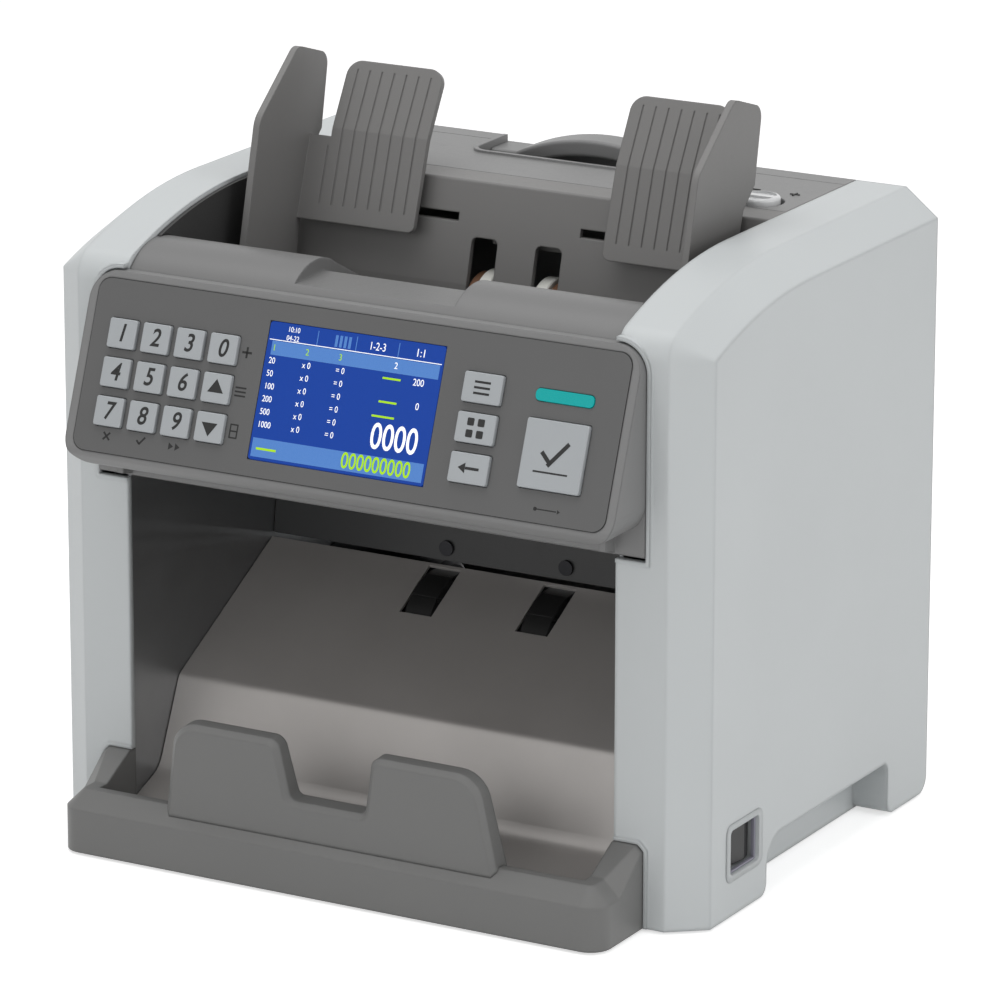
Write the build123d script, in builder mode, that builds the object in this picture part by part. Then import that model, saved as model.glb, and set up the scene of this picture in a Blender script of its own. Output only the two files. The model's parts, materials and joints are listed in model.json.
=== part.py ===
from build123d import *
import os
from math import cos, hypot, pi, radians, sin, tan

# Desktop banknote counting machine, in millimetres: X to the right, Y to the back, Z up.
# The origin lies on the floor under the middle of the machine's box.
# Depths are counted from `front`, the plane of the side covers' front faces.
os.makedirs("parts", exist_ok=True)

# ---- Driving dimensions ----
body_width = 295.0      # across the two side covers
body_depth = 203.4      # side covers, front to back
body_height = 256.0     # flat top of the side covers above the floor
tray_reach = 35.0       # the note tray stands this far in front of the covers
foot_proud = 1.0        # the rubber feet lift the covers this far off the floor
channel_half = 110.9    # half the clear width of hopper and pocket between the covers
seam = 0.3              # gap between two fixed pieces that meet
running = 0.05          # radial clearance of a shaft in its bush
key_gap = 0.35          # gap round a key in its hole

half_width = body_width / 2
front = (tray_reach - body_depth) / 2
back = front + body_depth

# ---- Side covers ----
cover_wall = 2.5
chamfer_in = 14.4       # the long chamfer's width across the front and top faces
chamfer_back = 11.4     # and along the side face
crown_run = 90.0        # the top falls towards the front over this depth
crown_drop = 18.5       # and by this much
nose_radius = 12.0
heel_radius = 7.0
notch_start = front + 59.0      # grip notch under each cover
notch_end = front + 167.0
notch_top = 24.0
notch_depth = 16.0
notch_front_radius = 12.0
notch_rear_radius = 4.0
notch_foot_radius = 5.0   # round edges of the covers' feet beside the notch
seat_half = 124.2       # half width of the recess for control panel and tray
panel_seat_low = 149.6
panel_seat_high = 236.0
seat_corner = 12.0
tray_seat_high = 35.3
tray_seat_chamfer = 2.6
rim_width = 1.6         # raised lip round each recess
rim_proud = 0.6

# ---- Frame, base and feet ----
frame_thick = 1.5
frame_in = channel_half + seam
frame_out = frame_in + frame_thick
cross_half = channel_half       # half length of the pieces that span between the frames
pan_low = 3.0
pan_thick = 1.5
pan_flange = 8.0
foot_radius = 8.0
foot_inset = 13.0
post_radius = 3.5
board_lift = 7.5

# ---- Shafts, as depth and height ----
shaft_radius = 4.0
bush_radius = 8.0
bush_length = 4.0
bush_fit = 0.08
pickup_y, pickup_z = front + 125.0, 204.0
transport_y, transport_z = front + 124.0, 165.0
stacker_y, stacker_z = front + 108.0, 67.0
motor_y, motor_z = front + 160.0, 60.0
pickup_radius = 16.0
tyre_radius = 14.5
transport_radius = 12.0
pressure_radius = 9.0
nip = 0.4               # gap between transport and pressure rollers
pressure_y = transport_y - transport_radius - nip - pressure_radius
pressure_z = transport_z
pressure_shaft_radius = 3.0
stacker_radius = 27.2
stacker_offset = 27.0
stacker_thick = 12.0
stacker_slits = 12

# ---- Belt drive, outside the left frame ----
pulley_out = 126.0
pulley_in = 118.0
motor_pulley_radius = 8.0
stacker_pulley_radius = 14.0
pickup_pulley_radius = 10.0
belt_thick = 1.5
belt_gap = 0.25
motor_radius = 21.0
motor_length = 56.0
motor_shaft_radius = 2.5

# ---- Hopper ----
roll_crest = 244.0
roll_lip = 234.5
roll_wall = 2.5
ramp_top_y, ramp_top_z = front + 37.0, 240.0
ramp_end_y, ramp_end_z = front + 100.0, 207.5
scoop_half = 36.0
scoop_depth = 5.5
plate_wall = 2.5
plate_top_y = front + 125.3
plate_foot_y, plate_foot_z = front + 114.8, 215.0
plate_end_y, plate_end_z = front + 112.0, 198.0
lid_split = front + 140.2       # where the hopper plate meets the top cover
slot_low, slot_high = 239.3, 242.8      # guide slots
slot_inner = 28.1
slot_outer = 104.0
window_inner, window_outer = 8.8, 20.9  # roller windows
window_top = 234.0
window_corner = 2.5
liner_thick = 1.7
liner_drop = 1.5

# ---- Note guides ----
guide_inner = 43.5
guide_plate = 98.5      # inner face of the guide's side plate
guide_thick = 3.0
rib_plate_thick = 2.4
guide_outer = 88.4      # outer edge of the ribbed plate above the notch
guide_foot_y, guide_foot_z = front + 110.7, 234.5
guide_bend_y, guide_bend_z = front + 122.8, 271.0    # the plate leans back further above this
guide_head_y, guide_head_z = front + 137.3, 296.8
guide_foot_round, guide_head_round = 3.0, 6.5
arm_inner = 52.0
arm_outer = 92.0
arm_gap = 0.45
guide_inward = 22.0     # travel towards the middle
guide_outward = 6.0
module = 1.0
pinion_teeth = 14
pinion_y = front + 130.0
pinion_z = (slot_low + slot_high) / 2
pinion_width = 4.0
pinion_pin_radius = 2.0
rack_depth = 3.0

# ---- Control panel ----
panel_tilt = 20.1       # leans back from the vertical
panel_top_y, panel_top_z = front - 3.1, 231.6
housing_half = seat_half - seam
housing_wall = 2.5
housing_top = panel_seat_high - 0.8
housing_bottom = panel_seat_low + 0.6
lip_high = 166.2
lip_low = 161.2
lip_y = front - 23.5
lip_round = 4.0
housing_corner = 11.5
overlay_width = 239.8
overlay_height = 69.0
overlay_drop = 33.8     # middle of the overlay, down the slope
overlay_thick = 0.8
overlay_sunk = 0.6
overlay_corner = 5.5
display_width, display_height = 79.0, 54.5
display_drop = 34.2
key_width, key_height = 12.7, 11.8
key_pitch = 15.6
key_first_x = -104.85
key_first_drop = 20.7
function_width, function_x = 17.0, 58.8
confirm_size, confirm_x, confirm_drop = 26.9, 93.95, 42.25
light_width, light_height, light_x, light_drop = 25.3, 4.8, 94.15, 19.6
key_proud = 2.0
key_depth = 2.8         # cap below the panel's face
key_flange = 1.0
key_travel = 1.0
board_depth = 8.2       # control board behind the panel's face
board_thick = 1.6

# ---- Tray, stop and pocket ----
tray_half = seat_half - seam
tray_rim = 26.0
tray_bevel = 7.0
tray_corner = 9.0
tray_rim_width = 4.0
tongue_width, tongue_reach = 160.0, 14.0     # slides under the base pan
tray_floor = 3.5
wing_high = tray_seat_high - seam
wing_start = front - 19.0        # the wings rise from here back to wing_flat
wing_flat = front - 2.0
stop_base, stop_top = 22.0, 63.5
stop_lean = 3.5         # the top leans forward of the foot
stop_outer_base, stop_outer_top = 76.0, 69.0
stop_inner_base, stop_inner_top = 17.0, 21.5
stop_valley = 38.5
stop_foot_thick, stop_head_thick = 11.0, 6.5
stop_bevel = 2.2
chute_thick = 1.2
chute_front_z = tray_floor + seam + chute_thick
chute_bend_y, chute_bend_z = front + 20.0, 21.5
chute_step_y, chute_step_z = front + 36.0, 57.0
chute_bend_radius, chute_step_radius = 12.0, 5.0
chute_end_y, chute_end_z = front + 109.5, stacker_z + stacker_radius + 2.5
exit_low_y, exit_low_z = front + 110.8, chute_end_z + 1.5
exit_high_y, exit_high_z = front + 114.5, 128.0
exit_thick = 2.0
exit_screw_x, exit_screw_z = 28.0, exit_low_z + 5.3
screw_radius, screw_head, screw_proud = 1.5, 3.2, 0.7
ceiling_front_z = 153.0
ceiling_back_y, ceiling_back_z = front + 97.0, 141.0
inner_wall_y = front + 106.0
inner_wall_top = 196.0

# ---- Top cover, handle, knob and rear door ----
lid_wall = 2.5
door_split = back - 10.4
door_wall = 2.5
grip_edge = 253.4       # top of the door's wall behind the handle
well_half = 50.0
well_start = back - 32.0
well_floor = 228.0
well_wall = 2.0
well_corner = 6.0
well_lip = 0.9
handle_start, handle_end = back - 17.9, back - 3.4
handle_flat = 38.0
handle_top, handle_peak = 254.0, 262.6
handle_thick = 7.0
knob_x, knob_y = 93.4, front + 151.3
knob_radius = 8.5
knob_gap = 1.7
knob_well_radius = knob_radius + knob_gap
knob_top = 258.6
knob_stem_radius = 3.0
knob_rim, knob_web, knob_sunk = 1.7, 3.2, 0.9     # rim and web left round the two recesses
knob_floor = 249.0
door_axis_y, door_axis_z = back - 6.0, 9.0
door_pin_radius = 2.0
inlet_x = 77.5
inlet_width, inlet_height, inlet_depth = 31.0, 24.0, 22.0
socket_width, socket_height, socket_depth = 24.5, 16.5, 16.0

# ---- Power switch, in the right cover's side ----
switch_y, switch_z = front + 39.3, 27.3
switch_frame_y, switch_frame_z = 30.6, 24.0
switch_mouth_y, switch_mouth_z = 24.0, 18.7
switch_proud = 0.4
switch_depth = 12.0
rocker_y, rocker_z = 20.6, 15.4

panel = Plane(
    origin=(0, panel_top_y, panel_top_z),
    x_dir=(1, 0, 0),
    z_dir=(0, -cos(radians(panel_tilt)), sin(radians(panel_tilt))),
)


def facing_front(y):
    """Upright plane at depth y that looks to the front: its x is X and its y is Z."""
    return Plane.XZ.offset(-y)


def save(builder, name):
    """Label a finished piece and write it as its own STEP file."""
    builder.part.label = name
    export_step(builder.part, f"parts/{name}.step")


# ---- Side covers ----

def cover_outline(inset):
    """Side view of a cover, drawn in by inset: upright front, round nose, crowned top."""
    low = foot_proud + inset
    high = body_height - inset
    near = front + inset
    far = back - inset
    crown_start = (front + crown_run, high)
    crown_end = (near, body_height - crown_drop - inset)
    with BuildSketch() as outline:
        with BuildLine():
            Line((far, high), crown_start)
            TangentArc(crown_start, crown_end, tangent=(-1, 0))
            Polyline(crown_end, (near, low), (far, low), (far, high))
        make_face()
        nose = outline.vertices().sort_by_distance((crown_end[0], crown_end[1], 0))[0]
        fillet(nose, radius=nose_radius)
        heel = outline.vertices().sort_by_distance((far, low, 0))[0]
        fillet(heel, radius=max(heel_radius - inset, 1))
    return outline.sketch


def cover_block(inset, inner):
    """Solid within a right cover's skin, drawn in by inset, with the long chamfer."""
    outer = half_width - inset
    slopes = 1 / chamfer_in + 1 / chamfer_back
    shrink = 1 - inset * (slopes - hypot(1 / chamfer_in, 1 / chamfer_back))
    with BuildPart() as block:
        with BuildSketch(Plane.YZ.offset(inner)):
            add(cover_outline(inset))
        extrude(amount=outer - inner)
        side_face = block.faces().sort_by(Axis.X)[-1]
        rounded = side_face.edges().filter_by(
            lambda edge: edge.center().Y < back - inset - 1 and edge.center().Z > body_height / 4
        )
        chamfer(rounded, chamfer_back * shrink, chamfer_in * shrink, reference=side_face)
    return block.part


def notch_face(grow):
    """The grip notch in side view, grown by a wall, with the feet's round edges beside it."""
    foot = foot_proud + grow
    near, far = notch_start - grow, notch_end + grow
    with BuildSketch() as notch:
        with BuildLine():
            Polyline(
                (near - 2 * notch_foot_radius, 0),
                (near - 2 * notch_foot_radius, foot),
                (near, foot),
                (near, notch_top + grow),
                (far, notch_top + grow),
                (far, foot),
                (far + 2 * notch_foot_radius, foot),
                (far + 2 * notch_foot_radius, 0),
                close=True,
            )
        make_face()
        edges = notch.vertices().filter_by(
            lambda v: abs(v.Y - foot) < 0.01 and near - 0.1 < v.X < far + 0.1
        )
        fillet(edges, radius=notch_foot_radius - grow)
        corners = notch.vertices().group_by(Axis.Y)[-1].sort_by(Axis.X)
        fillet(corners[0], radius=notch_front_radius)
        fillet(notch.vertices().group_by(Axis.Y)[-1].sort_by(Axis.X)[-1], radius=notch_rear_radius)
    return notch.sketch


def panel_seat(grow):
    """Recess for the control panel, seen from the front."""
    with BuildSketch() as seat:
        with BuildLine():
            Polyline(
                (channel_half - 5, panel_seat_low - grow),
                (seat_half + grow, panel_seat_low - grow),
                (seat_half + grow, panel_seat_high + grow),
                (channel_half - 5, panel_seat_high + grow),
                close=True,
            )
        make_face()
        corner = seat.vertices().sort_by_distance((seat_half + grow, panel_seat_high + grow, 0))[0]
        fillet(corner, radius=seat_corner + grow)
    return seat.sketch


def tray_seat(grow):
    """Recess for the tray's wing, seen from the front."""
    with BuildSketch() as seat:
        with BuildLine():
            Polyline(
                (channel_half - 5, -5),
                (seat_half + grow, -5),
                (seat_half + grow, tray_seat_high + grow),
                (channel_half - 5, tray_seat_high + grow),
                close=True,
            )
        make_face()
        corner = seat.vertices().sort_by_distance((seat_half + grow, tray_seat_high + grow, 0))[0]
        chamfer(corner, length=tray_seat_chamfer + grow * (2 - 2 ** 0.5))
    return seat.sketch


with BuildPart() as cavity:
    add(cover_block(cover_wall, channel_half - 1))
    with BuildSketch(Plane.YZ.offset(half_width - notch_depth - cover_wall)):
        add(notch_face(cover_wall))
    extrude(amount=half_width, mode=Mode.SUBTRACT)

with BuildPart() as plain_cover:
    add(cover_block(0, channel_half))
    add(cavity.part, mode=Mode.SUBTRACT)
    with BuildSketch(Plane.YZ.offset(half_width - notch_depth)):
        add(notch_face(0))
    extrude(amount=half_width, mode=Mode.SUBTRACT)
    for seat in (panel_seat, tray_seat):
        with BuildSketch(facing_front(front - 1)):
            add(seat(0))
        extrude(amount=-(1 + cover_wall + seam), mode=Mode.SUBTRACT)
        with BuildSketch(facing_front(front - rim_proud)) as rim:
            add(seat(rim_width))
            add(seat(0), mode=Mode.SUBTRACT)
            with Locations((channel_half + 50, foot_proud)):
                Rectangle(100, body_height, align=(Align.CENTER, Align.MIN), mode=Mode.INTERSECT)
        extrude(amount=-(rim_proud + cover_wall))

with BuildPart() as left_cover:
    mirror(plain_cover.part, about=Plane.YZ)
save(left_cover, "left_cover")

with BuildPart() as right_cover:
    add(plain_cover.part)
    with BuildSketch(Plane.YZ.offset(half_width - 2 * cover_wall)):
        with Locations((switch_y, switch_z)):
            RectangleRounded(switch_frame_y - 3, switch_frame_z - 3, 2.5)
    extrude(amount=4 * cover_wall, mode=Mode.SUBTRACT)
save(right_cover, "right_cover")

# ---- Power switch ----

with BuildPart() as switch_bezel:
    with BuildSketch(Plane.YZ.offset(half_width + seam / 10)):
        with Locations((switch_y, switch_z)):
            RectangleRounded(switch_frame_y, switch_frame_z, 4)
    extrude(amount=switch_proud)
    with BuildSketch(Plane.YZ.offset(half_width - switch_depth)):
        with Locations((switch_y, switch_z)):
            RectangleRounded(switch_frame_y - 3 - 2 * seam, switch_frame_z - 3 - 2 * seam, 2.2)
    extrude(amount=switch_depth + switch_proud)
    with BuildSketch(Plane.YZ.offset(half_width - switch_depth + 1.2)):
        with Locations((switch_y, switch_z)):
            RectangleRounded(switch_mouth_y, switch_mouth_z, 2)
    extrude(amount=switch_depth, mode=Mode.SUBTRACT)
    for side in (-1, 1):
        with BuildSketch(Plane.XY.offset(switch_z + side * switch_mouth_z / 2)):
            with Locations((half_width - switch_depth / 2 - 1, switch_y)):
                Circle(1.5)
        extrude(amount=-side * (switch_mouth_z - rocker_z) / 2 - side * 0.9)
save(switch_bezel, "switch_bezel")

rocker_pivot_x = half_width - switch_depth / 2 - 1
rocker_ridge = 2.0
with BuildPart() as switch_rocker:
    with BuildSketch(Plane.XY.offset(switch_z - rocker_z / 2)):
        with BuildLine():
            Polyline(
                (rocker_pivot_x - 2.2, switch_y - rocker_y / 2 + 4),
                (rocker_pivot_x + 2.4, switch_y - rocker_y / 2),
                (rocker_pivot_x + 2.4 + rocker_ridge, switch_y + rocker_y / 4),
                (rocker_pivot_x + 3.2, switch_y + rocker_y / 2),
                (rocker_pivot_x - 2.2, switch_y + rocker_y / 2 - 4),
                close=True,
            )
        make_face()
    extrude(amount=rocker_z)
    with BuildSketch(Plane.XY.offset(switch_z - rocker_z)):
        with Locations((rocker_pivot_x, switch_y)):
            Circle(1.5 + running)
    extrude(amount=2 * rocker_z, mode=Mode.SUBTRACT)
save(switch_rocker, "switch_rocker")

# ---- Frames, base pan, feet and bushes ----

left_only = ((motor_y, motor_z, motor_shaft_radius + 1.0),)
bush_places = ((pickup_y, pickup_z), (transport_y, transport_z), (stacker_y, stacker_z))


def frame_plate(side):
    """Steel side plate that carries the shafts; side is -1 on the left and 1 on the right."""
    holes = [(y, z, bush_radius + bush_fit) for y, z in bush_places]
    holes.append((pressure_y, pressure_z, pressure_shaft_radius + running))
    holes.append((door_axis_y, door_axis_z, door_pin_radius + running))
    if side < 0:
        holes.extend(left_only)
    low_x = frame_in if side > 0 else -frame_out
    with BuildPart() as plate:
        with BuildSketch(Plane.YZ.offset(low_x)):
            add(cover_outline(cover_wall + seam))
            for y, z, radius in holes:
                with Locations((y, z)):
                    Circle(radius, mode=Mode.SUBTRACT)
        extrude(amount=frame_thick)
    return plate.part


with BuildPart() as left_frame:
    add(frame_plate(-1))
save(left_frame, "left_frame")

with BuildPart() as right_frame:
    add(frame_plate(1))
save(right_frame, "right_frame")

pan_front = front + 6.0
pan_back = back - 11.4
pan_top = pan_low + pan_thick
board_low_x, board_high_x = -40.0, 100.0
board_low_y, board_high_y = front + 112.0, front + 172.0
post_places = [
    (x, y)
    for x in (board_low_x + 5, board_high_x - 5)
    for y in (board_low_y + 5, board_high_y - 5)
]
with BuildPart() as base_pan:
    with BuildSketch(Plane.XY.offset(pan_low)):
        with Locations((0, (pan_front + pan_back) / 2)):
            Rectangle(2 * cross_half, pan_back - pan_front)
    extrude(amount=pan_thick)
    with BuildSketch(Plane.XY.offset(pan_top)):
        for side in (-1, 1):
            with Locations((side * (cross_half - pan_thick / 2), (pan_front + pan_back) / 2)):
                Rectangle(pan_thick, pan_back - pan_front)
    extrude(amount=pan_flange)
    with BuildSketch(Plane.XY.offset(pan_top)):
        with Locations(*post_places):
            Circle(post_radius)
    extrude(amount=board_lift)
save(base_pan, "base_pan")

with BuildPart() as rubber_feet:
    with BuildSketch(Plane.XY):
        for x in (-cross_half + foot_inset, cross_half - foot_inset):
            for y in (pan_front + foot_inset, pan_back - foot_inset):
                with Locations((x, y)):
                    Circle(foot_radius)
    extrude(amount=pan_low)
    chamfer(rubber_feet.faces().sort_by(Axis.Z)[:4].edges(), length=0.8)
save(rubber_feet, "rubber_feet")

with BuildPart() as shaft_bearings:
    for side in (-1, 1):
        with BuildSketch(Plane.YZ.offset(side * (frame_in + frame_thick / 2) - bush_length / 2)):
            with Locations(*bush_places):
                Circle(bush_radius)
                Circle(shaft_radius + running, mode=Mode.SUBTRACT)
        extrude(amount=bush_length)
save(shaft_bearings, "shaft_bearings")

# ---- Rollers, shafts and belt drive ----

shaft_left = -(pulley_out + 1)
shaft_right = frame_out + bush_length


def cross_shaft(y, z, radius, start, end):
    """Plain round shaft across the machine."""
    with BuildPart() as shaft:
        with BuildSketch(Plane.YZ.offset(start)):
            with Locations((y, z)):
                Circle(radius)
        extrude(amount=end - start)
    return shaft.part


def ring(y, z, radius, bore, start, end):
    """Roller, tyre or pulley: a ring round a cross shaft from x = start to end."""
    with BuildPart() as wheel:
        with BuildSketch(Plane.YZ.offset(start)):
            with Locations((y, z)):
                Circle(radius)
                Circle(bore, mode=Mode.SUBTRACT)
        extrude(amount=end - start)
        chamfer(wheel.edges().filter_by(GeomType.CIRCLE).sort_by(SortBy.RADIUS)[-2:], length=0.5)
    return wheel.part


hub_inner, hub_outer = 10.2, 15.8
tyre_inner, tyre_outer = 16.1, 20.1
hub_radius = shaft_radius + seam / 10

with BuildPart() as pickup_shaft:
    add(cross_shaft(pickup_y, pickup_z, shaft_radius, shaft_left, shaft_right))
    add(ring(pickup_y, pickup_z, pickup_pulley_radius, shaft_radius, -pulley_out, -pulley_in))
save(pickup_shaft, "pickup_shaft")

with BuildPart() as pickup_rollers:
    for start, end in ((hub_inner, hub_outer), (-hub_outer, -hub_inner)):
        add(ring(pickup_y, pickup_z, pickup_radius, hub_radius, start, end))
save(pickup_rollers, "pickup_rollers")

with BuildPart() as pickup_tyres:
    for start, end in ((tyre_inner, tyre_outer), (-tyre_outer, -tyre_inner)):
        add(ring(pickup_y, pickup_z, tyre_radius, hub_radius, start, end))
save(pickup_tyres, "pickup_tyres")

roller_spans = ((18.0, 32.0), (56.0, 70.0))
roller_places = [span for a, b in roller_spans for span in ((a, b), (-b, -a))]

# The transport pulley just meets the straight run from the stacker pulley to the pickup pulley.
run_y, run_z = pickup_y - stacker_y, pickup_z - stacker_z
run = hypot(run_y, run_z)
run_turn = (stacker_pulley_radius - pickup_pulley_radius) / run
run_cos = (1 - run_turn ** 2) ** 0.5
side_y = -run_z / run * run_cos + run_y / run * run_turn
side_z = run_y / run * run_cos + run_z / run * run_turn
transport_pulley_radius = stacker_pulley_radius - (
    (transport_y - stacker_y) * side_y + (transport_z - stacker_z) * side_z
)

with BuildPart() as transport_roller:
    add(cross_shaft(transport_y, transport_z, shaft_radius, shaft_left, shaft_right))
    add(
        ring(transport_y, transport_z, transport_pulley_radius, shaft_radius, -pulley_out, -pulley_in)
    )
    for start, end in roller_places:
        add(ring(transport_y, transport_z, transport_radius, shaft_radius, start, end))
save(transport_roller, "transport_roller")

with BuildPart() as pressure_roller:
    add(
        cross_shaft(
            pressure_y, pressure_z, pressure_shaft_radius, -frame_out - seam, frame_out + seam
        )
    )
    for start, end in roller_places:
        add(ring(pressure_y, pressure_z, pressure_radius, pressure_shaft_radius, start, end))
save(pressure_roller, "pressure_roller")

with BuildPart() as stacker_shaft:
    add(cross_shaft(stacker_y, stacker_z, shaft_radius, shaft_left, shaft_right))
save(stacker_shaft, "stacker_shaft")

with BuildPart() as stacker_wheels:
    for side in (-1, 1):
        with BuildSketch(Plane.YZ.offset(side * stacker_offset - stacker_thick / 2)):
            with Locations((stacker_y, stacker_z)):
                Circle(stacker_radius)
                Circle(hub_radius, mode=Mode.SUBTRACT)
                with PolarLocations(stacker_radius * 0.78, stacker_slits):
                    Rectangle(stacker_radius * 0.5, 1.6, rotation=40, mode=Mode.SUBTRACT)
        extrude(amount=stacker_thick)
save(stacker_wheels, "stacker_wheels")

with BuildPart() as stacker_pulley:
    add(
        ring(stacker_y, stacker_z, stacker_pulley_radius, hub_radius, -pulley_out, -pulley_in)
    )
save(stacker_pulley, "stacker_pulley")

motor_face = -(frame_in - seam)
with BuildPart() as motor:
    with BuildSketch(Plane.YZ.offset(motor_face)):
        with Locations((motor_y, motor_z)):
            Circle(motor_radius)
            Circle(motor_shaft_radius + running, mode=Mode.SUBTRACT)
    extrude(amount=motor_length)
    chamfer(motor.faces().sort_by(Axis.X)[-1].edges().sort_by(SortBy.RADIUS)[-1], length=2)
save(motor, "motor")

with BuildPart() as motor_pulley:
    add(cross_shaft(motor_y, motor_z, motor_shaft_radius, -pulley_out - 1, motor_face + 40))
    add(ring(motor_y, motor_z, motor_pulley_radius, motor_shaft_radius, -pulley_out, -pulley_in))
save(motor_pulley, "motor_pulley")

pulleys = (
    (motor_y, motor_z, motor_pulley_radius),
    (stacker_y, stacker_z, stacker_pulley_radius),
    (pickup_y, pickup_z, pickup_pulley_radius),
)


def belt_loop(gap):
    """The area that the belt's run encloses, a gap outside its pulleys."""
    with BuildSketch() as loop:
        for y, z, radius in pulleys:
            with Locations((y, z)):
                Circle(radius + gap)
        make_hull()
    return loop.sketch


with BuildPart() as drive_belt:
    with BuildSketch(Plane.YZ.offset(-pulley_out + 1)):
        add(belt_loop(belt_gap + belt_thick))
        add(belt_loop(belt_gap), mode=Mode.SUBTRACT)
    extrude(amount=pulley_out - pulley_in - 2)
save(drive_belt, "drive_belt")

# ---- Hopper: front roll, plate and liners ----

roll_front = front + cover_wall + seam
roll_back_half = channel_half - seam


def roll_face():
    """Section of the front roll and its ramp."""
    with BuildSketch() as face:
        with BuildLine():
            crest = (front + 24.0, roll_crest)
            ThreePointArc((roll_front, roll_lip), (front + 12.0, roll_crest - 2.6), crest)
            ThreePointArc(crest, (front + 31.2, roll_crest - 1.1), (ramp_top_y, ramp_top_z))
            Polyline(
                (ramp_top_y, ramp_top_z),
                (ramp_end_y, ramp_end_z),
                (ramp_end_y, ramp_end_z - 6),
                (front + 36.0, 222.0),
                (roll_front + 8, 226.0),
                (roll_front, roll_lip),
            )
        make_face()
    return face.sketch


def roll_hollow():
    """Section of the space under the roll's skin, open at the bottom."""
    with BuildSketch() as face:
        with BuildLine():
            near = (roll_front + roll_wall, roll_lip - 1)
            crest = (front + 24.0, roll_crest - roll_wall)
            top = (ramp_top_y - 0.8, ramp_top_z - 1.12 * roll_wall)
            ThreePointArc(near, (front + 12.9, roll_crest - 2.6 - 0.93 * roll_wall), crest)
            ThreePointArc(crest, (front + 30.6, roll_crest - 1.1 - roll_wall), top)
            Polyline(
                top,
                (ramp_end_y - 2, ramp_end_z - 1.8),
                (ramp_end_y - 2, ramp_end_z - 10),
                (near[0], ramp_end_z - 10),
                near,
            )
        make_face()
    return face.sketch


ramp_slope = (ramp_top_z - ramp_end_z) / (ramp_end_y - ramp_top_y)
rib_pitch = 7.3
with BuildPart() as front_roll:
    with BuildSketch(Plane.YZ.offset(-roll_back_half)):
        add(roll_face())
    extrude(amount=2 * roll_back_half)
    with BuildSketch(Plane.YZ.offset(-scoop_half)):
        with BuildLine():
            Polyline(
                (front + 4, roll_crest + 9),
                (front + 4, roll_crest - scoop_depth - 0.8),
                (front + 28, roll_crest - scoop_depth),
                (front + 75, ramp_top_z - ramp_slope * (front + 75 - ramp_top_y)),
                (front + 75, roll_crest + 9),
                close=True,
            )
        make_face()
    extrude(amount=2 * scoop_half, mode=Mode.SUBTRACT)
    with BuildSketch(Plane.YZ.offset(scoop_half + 2 * roll_wall)):
        add(roll_hollow())
    extrude(amount=roll_back_half - scoop_half - 4 * roll_wall, mode=Mode.SUBTRACT)
    with BuildSketch(Plane.YZ.offset(-roll_back_half + 2 * roll_wall)):
        add(roll_hollow())
    extrude(amount=roll_back_half - scoop_half - 4 * roll_wall, mode=Mode.SUBTRACT)
save(front_roll, "front_roll")

with BuildPart() as hopper_plate:
    with BuildSketch(Plane.YZ.offset(-cross_half)):
        with BuildLine():
            FilletPolyline(
                (lid_split, body_height),
                (plate_top_y, body_height),
                (plate_foot_y, plate_foot_z),
                (plate_end_y, plate_end_z),
                radius=1.2,
            )
            offset(amount=plate_wall, side=Side.LEFT)
        make_face()
    extrude(amount=2 * cross_half)
    with BuildSketch(facing_front(front + 100)):
        for side in (-1, 1):
            with Locations((side * (window_inner + window_outer) / 2, window_top)):
                RectangleRounded(
                    window_outer - window_inner, 60, window_corner, align=(Align.CENTER, Align.MAX)
                )
            with Locations((side * (slot_inner + slot_outer) / 2, pinion_z)):
                Rectangle(slot_outer - slot_inner, slot_high - slot_low)
    extrude(amount=-36, mode=Mode.SUBTRACT)
    with BuildSketch(facing_front(pinion_y + pinion_width / 2 + 1)):
        with Locations((0, pinion_z)):
            Circle(pinion_pin_radius)
    extrude(amount=pinion_width + 6)
save(hopper_plate, "hopper_plate")

plate_lean = (plate_top_y - plate_foot_y) / (body_height - plate_foot_z)
with BuildPart() as hopper_liners:
    for low_x in (-channel_half + seam, channel_half - seam - liner_thick):
        with BuildSketch(Plane.YZ.offset(low_x)):
            add(cover_outline(liner_drop))
            with BuildLine():
                Polyline(
                    (front + 22, roll_crest + seam),
                    (front + 28, roll_crest + seam),
                    (ramp_top_y + 1, ramp_top_z + seam),
                    (ramp_end_y, ramp_end_z + seam),
                    (plate_foot_y - 2.6, ramp_end_z + seam),
                    (plate_top_y - 1.2, body_height),
                    (front + 22, body_height),
                    close=True,
                )
            make_face(mode=Mode.INTERSECT)
        extrude(amount=liner_thick)
save(hopper_liners, "hopper_liners")

# ---- Note guides, their racks and pinion ----

pitch = pi * module
addendum = 0.8 * module
dedendum = 1.1 * module
tooth_half = 0.32 * pitch / 1.6     # half thickness at the pitch line, with backlash
flank = tan(radians(20))
pinion_radius = module * pinion_teeth / 2
rack_end = 16.0                     # each rack reaches this far past the middle


def tooth_points(x, base, point):
    """Corners of one straight-sided tooth at x, whose pitch line is at base; point is 1 or -1."""
    tip = tooth_half - addendum * flank
    root = tooth_half + dedendum * flank
    return [
        (x - root, base - point * dedendum),
        (x - tip, base + point * addendum),
        (x + tip, base + point * addendum),
        (x + root, base - point * dedendum),
    ]


guide_lean = (guide_bend_y - guide_foot_y) / (guide_bend_z - guide_foot_z)
guide_angle_cos = 1 / hypot(1, guide_lean)
head_lean = (guide_head_y - guide_bend_y) / (guide_head_z - guide_bend_z)
head_angle_cos = 1 / hypot(1, head_lean)


def guide_line(z, behind):
    """Depth of the ribbed plate's lower face at height z, or of a plane that lies behind it."""
    return guide_foot_y + (z - guide_foot_z) * guide_lean + behind / guide_angle_cos


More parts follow.
